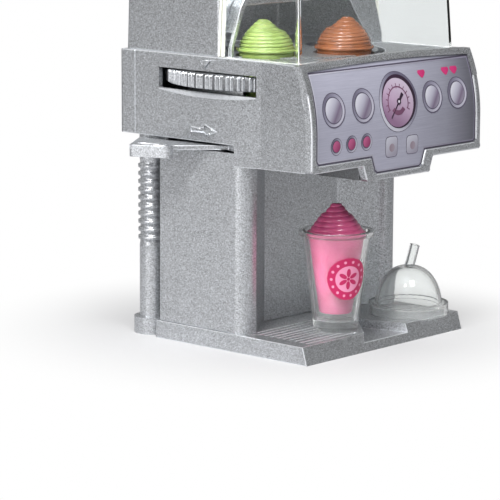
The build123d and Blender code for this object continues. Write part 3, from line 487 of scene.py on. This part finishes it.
def grid_faces(rows, columns, closed=True, ring=False):
    """Quads between rows of vertices.

    Closed joins the ends of each row, and ring joins the last row to the first.
    """
    faces = []
    for row in range(rows if ring else rows - 1):
        low, high = row * columns, (row + 1) % rows * columns
        for column in range(columns if closed else columns - 1):
            after = (column + 1) % columns
            faces.append((low + column, low + after, high + after, high + column))
    return faces


def round_points(radius, count, height=None):
    """Points of a circle, flat or at a height."""
    points = [(radius * cos(2 * pi * k / count), radius * sin(2 * pi * k / count))
              for k in range(count)]
    return points if height is None else [(*point, height) for point in points]


# ---- Drinks -------------------------------------------------------------------------------------
# Outline (radius, height) of a drink's cup part, up to the brim that the swirl stands on.
DRINK_CUP = ((0.02, 0.0), (4.4, 0.0), (4.9, 0.4), (6.5, 11.3), (8.15, 22.3), (8.2, 22.9),
             (8.5, 22.95), (8.75, 23.15), (8.78, 23.65), (8.55, 23.88), (8.1, 23.9))
SWIRL_FOOT = 23.9
SWIRL_TIP = 32.2
SWIRL_ROWS = 110
SEGMENTS = 96
# The swirl's radius at its tip and how much wider its foot is.
TIP_RADIUS, FOOT_EXTRA = 1.9, 6.15
# Share of the height from which one side steps in, over how much of it, and by how far.
STEP_START, STEP_RUN, STEP_DEPTH = 0.62, 0.05, 1.1


def swirl_row(t, bulge, lean, step_turn, pitch, ridge):
    """Points round the swirl at a share of its height."""
    height = SWIRL_FOOT + (SWIRL_TIP - SWIRL_FOOT) * t
    envelope = TIP_RADIUS + FOOT_EXTRA * (1 - t**bulge)
    shift = lean * t**1.5
    row = []
    for k in range(SEGMENTS):
        angle = 2 * pi * k / SEGMENTS
        phase = (height - SWIRL_FOOT) / pitch - k / SEGMENTS
        bead = sqrt(1 - (2 * (phase % 1.0) - 1)**2)
        radius = envelope - ridge * (1 - bead)
        if t > STEP_START:
            ledge = 0.5 + 0.5 * cos(angle - step_turn)
            radius -= min(1.0, (t - STEP_START) / STEP_RUN) * STEP_DEPTH * ledge
        radius = max(radius, 0.5)
        row.append((radius * cos(angle) - shift * cos(step_turn),
                    radius * sin(angle) - shift * sin(step_turn), height))
    return row


def soft_serve(name, place, material, bulge, lean, step_turn, pitch=1.05, ridge=0.34):
    """Soft-serve drink: a tapered cup, its brim and a ridged swirl that ends in a stepped tip."""
    x, y, z = place
    rows = [round_points(radius, SEGMENTS, height) for radius, height in DRINK_CUP]
    rows += [swirl_row(index / SWIRL_ROWS, bulge, lean, step_turn, pitch, ridge)
             for index in range(SWIRL_ROWS + 1)]
    verts = [(x + px, y + py, z + pz) for row in rows for px, py, pz in row]
    faces = grid_faces(len(rows), SEGMENTS)
    tip = rows[-1]
    middle = (sum(p[0] for p in tip) / SEGMENTS, sum(p[1] for p in tip) / SEGMENTS)
    verts.append((x + middle[0], y + middle[1], z + SWIRL_TIP + 0.08))
    verts.append((x, y, z))
    last = (len(rows) - 1) * SEGMENTS
    faces += [(last + k, last + (k + 1) % SEGMENTS, len(verts) - 2) for k in range(SEGMENTS)]
    faces += [((k + 1) % SEGMENTS, k, len(verts) - 1) for k in range(SEGMENTS)]
    return mesh_piece(name, verts, faces, [material])


def build_drinks():
    """The green and brown drinks in the carousel and the pink one in the cup."""
    green = soft_serve("green_soft_serve", (*GREEN_PLACE, DECK_TOP), GREEN, 1.8, 0.55,
                       radians(-25))
    brown = soft_serve("brown_soft_serve", (0.0, DROP_Y, DECK_TOP), BROWN, 1.8, 0.35,
                       radians(150))
    pink = soft_serve("pink_soft_serve", (*CUP_PLACE, PINK_FOOT), PINK, 1.15, 0.0, radians(40),
                      pitch=1.35, ridge=0.42)
    for obj, node, body, slot in ((green, "drink_green", "carousel", "green_plastic"),
                                  (brown, "drink_brown", "brown_drink", "brown_plastic"),
                                  (pink, "drink_pink", "pink_drink", "pink_plastic")):
        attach(obj, body)
        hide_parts(node)


# ---- Prints -------------------------------------------------------------------------------------
# The panel is upright up to the bend and leans back on a curve from there to its top.
PANEL_FRONT = -45.05
PANEL_BEND = 65.7
PANEL_CURVE = 20.0              # height of the curve
PANEL_LEAN = 4.65               # how far its top leans back
PANEL_RADIUS = (PANEL_CURVE**2 + PANEL_LEAN**2) / (2 * PANEL_LEAN)
LABEL_DEPTH = 0.4
# The cup's wall: radius at its foot, how much wider and higher its rim is.
CUP_FOOT_RADIUS, CUP_FLARE, CUP_WALL_HEIGHT = 6.5, 3.4, 28.3
BADGE_HEIGHT = 21.7
BADGE_TURN = radians(-115)
BADGE_RADIUS = 8.47             # the cup's radius at the badge


def on_label(u, v, lift):
    """Point above the curved label; u is X and v is the height."""
    rise = max(v - PANEL_BEND, 0.0)
    lean = PANEL_RADIUS - sqrt(PANEL_RADIUS**2 - rise * rise)
    return (u, PANEL_FRONT + LABEL_DEPTH + lean - lift, v)


def on_cup(u, v, lift):
    """Point above the cup's wall; u runs round the wall and v up it from the badge's middle."""
    z = BADGE_HEIGHT + v
    reach = CUP_FOOT_RADIUS + CUP_FLARE * (z - CUP_FOOT) / CUP_WALL_HEIGHT + lift
    angle = BADGE_TURN + u / BADGE_RADIUS
    return (CUP_PLACE[0] + reach * cos(angle), CUP_PLACE[1] + reach * sin(angle), z)


def rounded_box(half_width, half_height, power=5.0, count=48):
    """Square outline with round corners."""
    points = []
    for c, s in round_points(1.0, count):
        reach = (abs(c)**power + abs(s)**power)**(-1 / power)
        points.append((half_width * reach * c, half_height * reach * s))
    return points


# Height of the lowest ink over its surface, and of each layer over the last one.
INK_LIFT, INK_STEP = 0.05, 0.015


class Print:
    """Flat ink shapes laid over each other on one surface."""

    def __init__(self, surface, step=INK_STEP):
        self.surface, self.lift, self.step = surface, INK_LIFT, step
        self.verts, self.faces, self.slots, self.uvs, self.materials = [], [], [], [], []

    def disc(self, radius, centre, material, count=48, **shape):
        """Filled circle, or a band of it."""
        self.patch(round_points(radius, count), centre, material, **shape)

    def same_layer(self):
        """Lays the next shape at the height of the last one, which it doesn't touch."""
        self.lift -= self.step

    def add_grid(self, rows, uv_rows, material, closed):
        """One grid of (u, v) points, as a layer above the last one."""
        if material not in self.materials:
            self.materials.append(material)
        base, columns = len(self.verts), len(rows[0])
        self.verts += [self.surface(u, v, self.lift) for row in rows for u, v in row]
        self.uvs += [uv for row in uv_rows for uv in row]
        for a, b, c, d in grid_faces(len(rows), columns, closed):
            self.faces.append((base + d, base + c, base + b, base + a))
            self.slots.append(self.materials.index(material))
        self.lift += self.step

    def patch(self, outline, centre, material, inner=0.02, rings=6):
        """Filled outline, or a band between it and its copy shrunk to the inner share."""
        reach = max(max(abs(u), abs(v)) for u, v in outline)
        rows, uv_rows = [], []
        for ring in range(rings + 1):
            share = inner + (1 - inner) * ring / rings
            rows.append([(centre[0] + u * share, centre[1] + v * share) for u, v in outline])
            uv_rows.append([(0.5 + 0.5 * u * share / reach, 0.5 + 0.5 * v * share / reach)
                            for u, v in outline])
        self.add_grid(rows, uv_rows, material, True)

    def sector(self, centre, inner, outer, start, end, material, count=24):
        """Part of a ring between two angles in degrees."""
        rows, uv_rows = [], []
        angles = [radians(start + (end - start) * k / count) for k in range(count + 1)]
        for radius in (inner, (inner + outer) / 2, outer):
            reach = 0.5 * radius / outer
            rows.append([(centre[0] + radius * cos(a), centre[1] + radius * sin(a))
                         for a in angles])
            uv_rows.append([(0.5 + reach * cos(a), 0.5 + reach * sin(a)) for a in angles])
        self.add_grid(rows, uv_rows, material, False)

    def finish(self, name, body):
        """Turns the layers into one piece."""
        obj = mesh_piece(name, self.verts, self.faces, self.materials, self.slots)
        layer = obj.data.uv_layers.new(name="UVMap")
        for loop in obj.data.loops:
            layer.data[loop.index].uv = self.uvs[loop.vertex_index]
        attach(obj, body)


# From the light side to the dark side of a printed button.
LOWER_RIGHT = radians(-35)


def ink(name, *stops, turn=0.0):
    """Ink from (share, red, green, blue) stops in display levels."""
    return print_material(f"ink_{name}", [(share, srgb(*levels)) for share, *levels in stops],
                          turn)


INK = {
    "rim": ink("rim", (0.05, 112, 108, 126), (0.4, 150, 148, 166), (0.9, 196, 194, 208),
               turn=LOWER_RIGHT),
    "line": ink("line", (0.0, 70, 64, 84), (1.0, 96, 90, 112), turn=LOWER_RIGHT),
    "dome": ink("dome", (0.08, 214, 214, 224), (0.45, 180, 178, 194), (0.75, 122, 108, 132),
                (0.95, 150, 144, 160), turn=LOWER_RIGHT),
    "pink": ink("pink", (0.1, 196, 96, 142), (0.9, 150, 58, 104), turn=LOWER_RIGHT),
    "magenta": ink("magenta", (0.0, 206, 60, 122), (1.0, 190, 44, 106)),
    "dark": ink("dark", (0.0, 58, 36, 60), (1.0, 42, 24, 44)),
    "bezel": ink("bezel", (0.1, 206, 206, 218), (0.45, 150, 148, 166), (0.9, 100, 96, 116),
                 turn=radians(50)),
    "dial": ink("dial", (0.1, 150, 116, 148), (0.5, 190, 164, 190), (0.9, 198, 184, 202),
                turn=radians(60)),
    # Painted shadow in the gap between the label and its frame.
    "gap_shadow_line": ink("gap_shadow_line", (0.0, 84, 78, 96), (1.0, 62, 56, 72)),
    "light_line": ink("light_line", (0.0, 196, 196, 208), (1.0, 128, 124, 142)),
    "scale": ink("scale", (0.0, 128, 84, 112), (1.0, 112, 70, 100)),
    "pale": ink("pale", (0.0, 226, 218, 230), (1.0, 240, 236, 244)),
    "rocker": ink("rocker", (0.05, 200, 200, 212), (0.95, 160, 156, 172), turn=radians(-60)),
    "rocker_spot": ink("rocker_spot", (0.0, 150, 134, 146), (1.0, 166, 154, 166)),
    "badge": ink("badge", (0.0, 196, 30, 92), (1.0, 206, 38, 100)),
    "badge_pale": ink("badge_pale", (0.0, 240, 150, 186), (1.0, 244, 160, 194)),
}


GAUGE = (0.45, 72.9)
# The dial's first and last tick in degrees, and the radii of its scale.
DIAL_START, DIAL_END, TICKS = -25, 205, 13
SCALE_INNER, SCALE_OUTER = 4.35, 4.75
# Ends of the needle from the gauge's middle, and half its width at each.
NEEDLE_TIP, NEEDLE_TAIL = Vector((-3.74, -4.5)), Vector((2.1, 2.3))
TIP_HALF, TAIL_HALF = 0.2, 0.6


def moved(place, u, v):
    """Place on a surface, moved along it."""
    return (place[0] + u, place[1] + v)


def build_gauge():
    """Pressure gauge: bezel, dark inner ring, pale dial with a scale, ticks and a needle."""
    sheet = Print(on_label)
    sheet.disc(8.75, GAUGE, INK["line"], 72, inner=0.9)
    sheet.disc(8.6, GAUGE, INK["bezel"], 72, inner=0.8)
    sheet.disc(7.75, moved(GAUGE, 0.15, 0.1), INK["dark"], 72)
    dial = moved(GAUGE, -0.3, -0.2)
    sheet.disc(7.05, dial, INK["dial"], 72, rings=10)
    sheet.sector(dial, SCALE_INNER, SCALE_OUTER, DIAL_START, DIAL_END, INK["scale"], count=48)
    for number in range(TICKS):
        turn = DIAL_START + (DIAL_END - DIAL_START) * number / (TICKS - 1)
        inner = SCALE_OUTER if number % 3 else 4.1
        sheet.sector(dial, inner, 5.55, turn - 1.6, turn + 1.6, INK["scale"], count=2)
        sheet.same_layer()
    sheet.lift += sheet.step    # the next shapes lie above the ticks again
    sheet.sector(dial, 2.2, 3.6, 215, 325, INK["scale"])
    along = (NEEDLE_TAIL - NEEDLE_TIP).normalized()
    side = Vector((-along.y, along.x))
    middle = (NEEDLE_TIP + NEEDLE_TAIL) / 2
    corners = [end + side * reach - middle for end, reach in
               ((NEEDLE_TIP, TIP_HALF), (NEEDLE_TIP, -TIP_HALF),
                (NEEDLE_TAIL, -TAIL_HALF), (NEEDLE_TAIL, TAIL_HALF))]
    sheet.patch([tuple(corner) for corner in corners], moved(GAUGE, *middle), INK["dark"])
    hub = moved(GAUGE, 0.1, 0.1)
    sheet.disc(0.95, hub, INK["dark"])
    sheet.disc(0.4, hub, INK["pale"])
    sheet.finish("pressure_gauge_print", "machine")


# Outline (X, height) of the panel's label.
LABEL_RIGHT = ((9.72, 53.15), (10.84, 53.93), (12.35, 57.95), (35.75, 57.95), (36.75, 58.95),
               (36.75, 83.8))
LABEL_LEFT = [(-x, z) for x, z in reversed(LABEL_RIGHT)]
LABEL_OUTLINE = [*LABEL_LEFT[1:], *LABEL_RIGHT, LABEL_LEFT[0]]


def inset(points, distance):
    """Outline moved inwards by a distance; the points run anticlockwise."""
    shrunk = []
    for index, point in enumerate(points):
        before = Vector(point) - Vector(points[index - 1])
        after = Vector(points[(index + 1) % len(points)]) - Vector(point)
        normals = [Vector((-way.y, way.x)).normalized() for way in (before, after)]
        middle = (normals[0] + normals[1]).normalized()
        shrunk.append(Vector(point) + middle * distance / middle.dot(normals[0]))
    return shrunk


def divided(points, pieces=24):
    """Closed outline with each side cut into equal pieces."""
    result = []
    for index, point in enumerate(points):
        after = Vector(points[(index + 1) % len(points)])
        result += [tuple(Vector(point).lerp(after, k / pieces)) for k in range(pieces)]
    return result


def build_label_border():
    """Dark line of painted shadow in the gap round the label's edge, and a printed light line
    inside it.
    """
    sheet = Print(on_label)
    # The dark line is painted shadow in the gap round the label; the light line is print.
    for outer, inner, kind in ((0.02, 0.42, "gap_shadow_line"), (0.42, 0.8, "light_line")):
        rows = [divided(inset(LABEL_OUTLINE, distance)) for distance in (outer, inner)]
        uv_rows = [[(0.5 + u / 80, 0.5 + (v - 70) / 80) for u, v in row] for row in rows]
        sheet.add_grid(rows, uv_rows, INK[kind], True)
    sheet.finish("label_border_print_and_shadow", "machine")


# Middle (X, height) and size of each print on the label.
BUTTONS = (((-28.6, 72.9), 5.0), ((-15.5, 73.1), 5.0), ((16.4, 73.0), 4.75), ((28.5, 73.2), 4.75))
LIGHTS = ((-28.0, 62.6), (-21.3, 62.7), (-14.6, 62.7))
ROCKERS = (((-3.2, 60.2), 2.8, 3.05), ((6.4, 60.0), 2.8, 2.8))
MARKS = ((13.1, 80.3), (24.4, 80.3), (28.5, 80.3))


def mark_outline(count=24):
    """Rounded mark with a flat top that narrows downwards."""
    points = []
    for c, s in round_points(1.0, count):
        if s < 0:
            points.append((1.75 * c * (1 + 0.45 * s), 1.5 * s))
        else:
            points.append((1.75 * c, min(1.3 * s, 0.75)))
    return points


def build_label_prints():
    """Buttons, lights, rocker switches and marks printed on the panel."""
    for number, (centre, reach) in enumerate(BUTTONS, 1):
        sheet = Print(on_label)
        sheet.disc(reach, centre, INK["line"], inner=0.9)
        sheet.disc(reach - 0.3, moved(centre, -0.1, 0.08), INK["rim"], inner=0.7)
        sheet.disc(reach - 1.15, moved(centre, -0.15, 0.0), INK["line"], inner=0.8)
        sheet.disc(reach - 1.45, moved(centre, -0.1, 0.0), INK["dome"])
        sheet.finish(f"button_{number}_print", "machine")
    for number, centre in enumerate(LIGHTS, 1):
        sheet = Print(on_label)
        sheet.disc(2.5, centre, INK["line"], inner=0.85)
        sheet.disc(2.35, centre, INK["rim"], inner=0.6)
        sheet.disc(1.85, moved(centre, -0.05, 0.0), INK["line"], inner=0.7)
        sheet.disc(1.6, moved(centre, 0.05, 0.0), INK["pink"])
        sheet.finish(f"light_{number}_print", "machine")
    for number, (centre, half_width, half_height) in enumerate(ROCKERS, 1):
        sheet = Print(on_label)
        sheet.patch(rounded_box(half_width, half_height), centre, INK["line"], inner=0.9)
        sheet.patch(rounded_box(half_width - 0.15, half_height - 0.15), centre, INK["rocker"])
        sheet.disc(1.2, moved(centre, 0.2, -0.3), INK["rocker_spot"])
        sheet.finish(f"rocker_{number}_print", "machine")
    sheet = Print(on_label)
    for centre in MARKS:
        sheet.patch(mark_outline(), centre, INK["magenta"])
        sheet.same_layer()
    sheet.finish("serving_marks_print", "machine")


# The badge's outer radius, the circles of its dots and petals, and how many of each.
BADGE_REACH = 6.3
DOT_CIRCLE, DOTS = 5.1, 14
PETAL_CIRCLE, PETALS = 1.85, 6


def build_badge():
    """Round magenta badge on the cup: a dotted ring round a six-petal flower."""
    middle = (0.0, 0.0)
    sheet = Print(on_cup, step=0.02)
    sheet.disc(4.2, middle, INK["badge_pale"], 72, rings=8)
    sheet.disc(BADGE_REACH, middle, INK["badge"], 72, inner=0.62, rings=8)
    for centre in round_points(DOT_CIRCLE, DOTS):
        sheet.disc(0.42, centre, INK["badge_pale"], 16, rings=2)
        sheet.same_layer()
    for number in range(PETALS):
        turn = 2 * pi * (number + 0.5) / PETALS
        out, across = Vector((cos(turn), sin(turn))), Vector((-sin(turn), cos(turn)))
        petal = [tuple(out * 1.25 * u + across * 0.62 * v) for u, v in round_points(1.0, 24)]
        sheet.patch(petal, tuple(out * PETAL_CIRCLE), INK["badge"], rings=4)
        sheet.same_layer()
    sheet.disc(0.5, middle, INK["badge"], 24, rings=2)
    sheet.finish("cup_badge", "cup")


# ---- Raised details -----------------------------------------------------------------------------
# The thumb ring's ribs: outer radius, depth of the grooves, how many pairs, samples per pair.
RING_RADIUS, RING_INNER = 35.05, 29.5
RING_LOW, RING_HIGH = 76.45, 80.85
GROOVE_DEPTH = 0.75
RIB_PAIRS, RIB_SAMPLES = 60, 20
# Start and half width of both ribs as shares of their pair.
RIBS = ((0.105, 0.145), (0.505, 0.145))


def rib_rise(share):
    """Height of the rounded rib at a share of a pair of ribs, from 0 in a groove to 1."""
    for start, half in RIBS:
        offset = (share - start - half) / half
        if abs(offset) < 1:
            return sqrt(1 - offset * offset)
    return 0.0


def build_thumb_ring():
    """Thumb ring with pairs of rounded ribs round its edge, with a painted highlight on the ribs
    and painted shade in the grooves.
    """
    columns = RIB_PAIRS * RIB_SAMPLES
    shoulder = RING_RADIUS - 0.3
    land = RING_RADIUS - 1.15
    half = ((RING_LOW, RING_INNER, 0.0), (RING_LOW, land, 0.0), (RING_LOW + 0.12, shoulder, 1.0),
            (RING_LOW + 0.4, RING_RADIUS, 1.0), (RING_LOW + 1.2, RING_RADIUS, 1.0))
    middle = (RING_LOW + RING_HIGH) / 2
    profile = [*half, (middle, RING_RADIUS, 1.0),
               *((2 * middle - z, reach, ribbed) for z, reach, ribbed in reversed(half))]
    rows = []
    for z, reach, ribbed in profile:
        row = []
        for column in range(columns):
            groove = 1 - rib_rise(column % RIB_SAMPLES / RIB_SAMPLES)
            spot = reach - ribbed * GROOVE_DEPTH * groove
            angle = 2 * pi * column / columns
            row.append((WHEEL[0] + spot * cos(angle), WHEEL[1] + spot * sin(angle), z))
        rows.append(row)
    faces = grid_faces(len(rows), columns)
    # Ribs take the painted highlight silver, grooves the painted shade silver.
    on_rib = [rib_rise((index % columns % RIB_SAMPLES + 0.5) / RIB_SAMPLES) > 0
              for index in range(len(faces))]
    obj = mesh_piece("thumb_ring_ribs", [v for row in rows for v in row], faces,
                     [RAISED_HIGHLIGHT_SILVER, PAINTED_SHADE_SILVER], [0 if ribbed else 1 for ribbed in on_rib])
    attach(obj, "carousel")
    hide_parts("thumb_ring")


# Outlines (Y, height) of the marks on the left wall with their half widths, and the plane of
# their middles.
MARK_OUTLINES = {
    "triangle_mark": (0.2, ((0.4, 84.5), (-3.2, 84.5), (-1.4, 82.3))),
    "arrow_mark": (0.24, ((3.9, 63.4), (-1.6, 63.4), (-1.6, 62.5), (-5.5, 64.0), (-1.6, 65.5),
                          (-1.6, 64.6), (3.9, 64.6))),
}
MARK_PLANE = -BODY_SIDE - 0.5
MARK_SIDES = 8


def build_wall_marks():
    """Raised outlines of the triangle over the wheel slot and of the arrow under it, in a brighter
    silver that is a painted highlight.
    """
    for name, (radius, outline) in MARK_OUTLINES.items():
        count = len(outline)
        middle = Vector((sum(y for y, _ in outline) / count, sum(z for _, z in outline) / count))
        verts = []
        for point in outline:
            out = (Vector(point) - middle).normalized()
            for rise, spread in round_points(radius, MARK_SIDES):
                verts.append((MARK_PLANE - rise, point[0] + out.x * spread,
                              point[1] + out.y * spread))
        obj = mesh_piece(name, verts, grid_faces(count, MARK_SIDES, ring=True), [RAISED_HIGHLIGHT_SILVER])
        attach(obj, "machine")


# The lip under the wheel slot: its ends, the height of its top, its depth there and how much
# deeper it is in its middle, and how far it stands out at each share of its depth.
LIP_FRONT, LIP_REAR, LIP_TOP = -21.3, 17.15, 75.1
LIP_END_DEPTH, LIP_EXTRA_DEPTH = 0.35, 1.25
LIP_PROFILE = ((0.0, 0.02), (0.25, 0.12), (0.5, 0.2), (0.75, 0.25), (0.92, 0.22), (1.0, 0.1))
LIP_COLUMNS = 41


def build_slot_lip():
    """Rounded lip under the wheel slot, deepest in its middle, in a brighter silver that is a
    painted highlight.
    """
    rows = []
    for share, rise in LIP_PROFILE:
        row = []
        for column in range(LIP_COLUMNS):
            along = column / (LIP_COLUMNS - 1)
            depth = LIP_END_DEPTH + LIP_EXTRA_DEPTH * (1 - (2 * along - 1)**2)
            row.append((-BODY_SIDE - rise, LIP_FRONT + (LIP_REAR - LIP_FRONT) * along,
                        LIP_TOP - depth * (1 - share)))
        rows.append(row)
    obj = mesh_piece("slot_lip", [v for row in rows for v in row],
                     grid_faces(len(rows), LIP_COLUMNS, False), [EDGE_HIGHLIGHT_SILVER])
    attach(obj, "machine")


# The milky edges of the hopper's side walls: front and rear of both strips, their ends in
# height, their thickness, how far they stand out of the wall, and the wall's half width at the
# head's top and its lean inwards per millimetre of height.
HOPPER_STRIPS = ((-8.1, -7.4), (-6.85, -6.15))
STRIP_LOW, STRIP_HIGH = 86.0, 109.8
STRIP_THICKNESS, STRIP_PROUD = 1.25, 0.03
HOPPER_SIDE = BODY_SIDE - 0.2
HOPPER_LEAN = 0.0454


def build_hopper_edges():
    """Milky rear ends of the hopper's side walls, where the clear plastic gathers the light."""
    milky, tree, shader = new_material("hopper_edge", (0.9, 0.9, 0.82), 0.3)
    cloud = noise(tree, object_position(tree), 500.0, detail=1.0)
    color = ramp(tree, cloud, ((0.3, (0.86, 0.86, 0.77)), (0.7, (0.93, 0.93, 0.86))))
    tree.links.new(color, shader.inputs["Base Color"])
    for name, side in (("hopper_edge_left", -1), ("hopper_edge_right", 1)):
        verts, faces = [], []
        for front, rear in HOPPER_STRIPS:
            base = len(verts)
            for z in (STRIP_LOW, STRIP_HIGH):
                outer = HOPPER_SIDE - HOPPER_LEAN * (z - HEAD_TOP) + STRIP_PROUD
                inner = outer - STRIP_THICKNESS
                verts += [(side * x, y, z) for x, y in
                          ((outer, front), (outer, rear), (inner, rear), (inner, front))]
            faces += [tuple(base + k for k in face) for face in
                      ((0, 1, 5, 4), (1, 2, 6, 5), (2, 3, 7, 6), (3, 0, 4, 7), (3, 2, 1, 0),
                       (4, 5, 6, 7))]
        obj = mesh_piece(name, verts, faces, [milky], smooth=False)
        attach(obj, "machine")


# The oval rib on the lever's grip: its middle and long direction, its half lengths, the height
# of its middle, its own radius, and its points round the oval and round itself.
GRIP_MIDDLE = Vector((-46.7, 9.7))
GRIP_ALONG = Vector((-3.6, 11.0)).normalized()
GRIP_LONG, GRIP_SHORT = 4.7, 1.55
GRIP_TOP = 59.95
GRIP_RIB_RADIUS = 0.38
GRIP_POINTS, GRIP_SIDES = 64, 10


def build_grip_ring():
    """Raised oval rib on top of the lever's grip."""
    across = Vector((-GRIP_ALONG.y, GRIP_ALONG.x))
    verts = []
    for c, s in round_points(1.0, GRIP_POINTS):
        spot = GRIP_MIDDLE + GRIP_ALONG * GRIP_LONG * c + across * GRIP_SHORT * s
        outward = (GRIP_ALONG * c / GRIP_LONG + across * s / GRIP_SHORT).normalized()
        for spread, rise in round_points(GRIP_RIB_RADIUS, GRIP_SIDES):
            verts.append((*(spot + outward * spread), GRIP_TOP + rise))
    faces = [(a, d, c, b) for a, b, c, d in grid_faces(GRIP_POINTS, GRIP_SIDES, ring=True)]
    obj = mesh_piece("grip_rib", verts, faces, [SILVER])
    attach(obj, "lever")


# ---- Stage --------------------------------------------------------------------------------------
FLOOR_REACH = 3.0
# Distances from the middle, in metres, over which the floor fades to plain white.
FADE_START, FADE_END = 0.01, 0.1


def build_stage():
    """Pale floor that takes a soft shadow near the part and fades to plain white further out."""
    mesh = bpy.data.meshes.new("floor")
    corners = ((-1, -1), (1, -1), (1, 1), (-1, 1))
    mesh.from_pydata([(x * FLOOR_REACH, y * FLOOR_REACH, 0) for x, y in corners], [],
                     [(0, 1, 2, 3)])
    floor = bpy.data.objects.new("floor", mesh)
    bpy.context.scene.collection.objects.link(floor)
    material, tree, shader = new_material("floor", (0.5, 0.5, 0.51), 0.7)
    coordinate = tree.nodes.new("ShaderNodeTexCoord")
    distance = vector_maths(tree, "LENGTH", "Value", coordinate.outputs["Object"])
    faded = maths(tree, "MULTIPLY",
                  before_bounce(tree, ("Is Camera Ray", "Is Transmission Ray")),
                  span_share(tree, distance, FADE_START, FADE_END, smooth=True))
    plain = tree.nodes.new("ShaderNodeEmission")
    plain.inputs["Color"].default_value = (*grey(1.0), 1.0)
    plain.inputs["Strength"].default_value = 1.0
    surface = blend_shaders(tree, faded, shader.outputs["BSDF"], plain.outputs["Emission"])
    tree.links.new(surface, tree.nodes["Material Output"].inputs["Surface"])
    mesh.materials.append(material)


# Name, place, size and power of each soft lamp, and the point that they all face, in metres.
LAMPS = (("key", (-0.65, -0.2, 0.85), 0.25, 12.3), ("front_key", (-0.3, -0.6, 0.95), 0.3, 5.6),
         ("left", (-1.0, 0.1, 0.3), 0.5, 2.6), ("rim", (0.0, 0.8, 0.8), 0.5, 0.8))
LAMP_TARGET = Vector((0.0, 0.0, 0.05))
# The small lamp that lights the inside of the hood.
GLOW_PLACE, GLOW_POWER, GLOW_RADIUS = (-0.004, 0.008, 0.1035), 0.025, 0.008
# Strength of the white surroundings for soft light, for reflections and inside clear edges.
AMBIENT = 0.05
REFLECTED = 0.25
REFRACTED = 0.45


def area_light(name, location, size, power):
    """Soft square lamp aimed at the part."""
    data = bpy.data.lights.new(name, "AREA")
    data.shape = "RECTANGLE"
    data.size = data.size_y = size
    data.energy = power
    lamp = bpy.data.objects.new(name, data)
    lamp.location = location
    direction = LAMP_TARGET - Vector(location)
    lamp.rotation_euler = direction.to_track_quat("-Z", "Y").to_euler()
    bpy.context.scene.collection.objects.link(lamp)


def background(tree, color, strength):
    """Background shader of one level."""
    node = tree.nodes.new("ShaderNodeBackground")
    node.inputs["Color"].default_value = (*color, 1.0)
    node.inputs["Strength"].default_value = strength
    return node.outputs["Background"]


def build_lights():
    """Two keys from the front left above, weak lamps from the left and behind, pale world."""
    for name, location, size, power in LAMPS:
        area_light(name, location, size, power)
    glow = bpy.data.lights.new("hood_glow", "POINT")
    glow.energy = GLOW_POWER
    glow.shadow_soft_size = GLOW_RADIUS
    glow_lamp = bpy.data.objects.new("hood_glow", glow)
    glow_lamp.location = GLOW_PLACE
    glow_lamp.visible_camera = False
    glow_lamp.visible_glossy = False
    glow_lamp.visible_transmission = False
    bpy.context.scene.collection.objects.link(glow_lamp)
    world = bpy.data.worlds.new("world")
    bpy.context.scene.world = world
    world.use_nodes = True
    tree = world.node_tree
    tree.nodes.remove(tree.nodes["Background"])
    shown = background(tree, (0.95, 0.96, 1.0), AMBIENT)
    for rays, strength, glossy_counts in (
            (("Is Glossy Ray",), REFLECTED, False),
            (("Is Transmission Ray",), REFRACTED, False),
            (("Is Camera Ray", "Is Transmission Ray"), 1.0, True)):
        shown = blend_shaders(tree, before_bounce(tree, rays, glossy_counts), shown,
                              background(tree, grey(1.0), strength))
    tree.links.new(shown, tree.nodes["World Output"].inputs["Surface"])


place_camera()
dress_cad_nodes()
build_drinks()
build_gauge()
build_label_prints()
build_label_border()
build_badge()
build_grip_ring()
build_thumb_ring()
build_wall_marks()
build_slot_lip()
build_hopper_edges()
build_stage()
build_lights()

bpy.context.scene.view_settings.view_transform = "Standard"
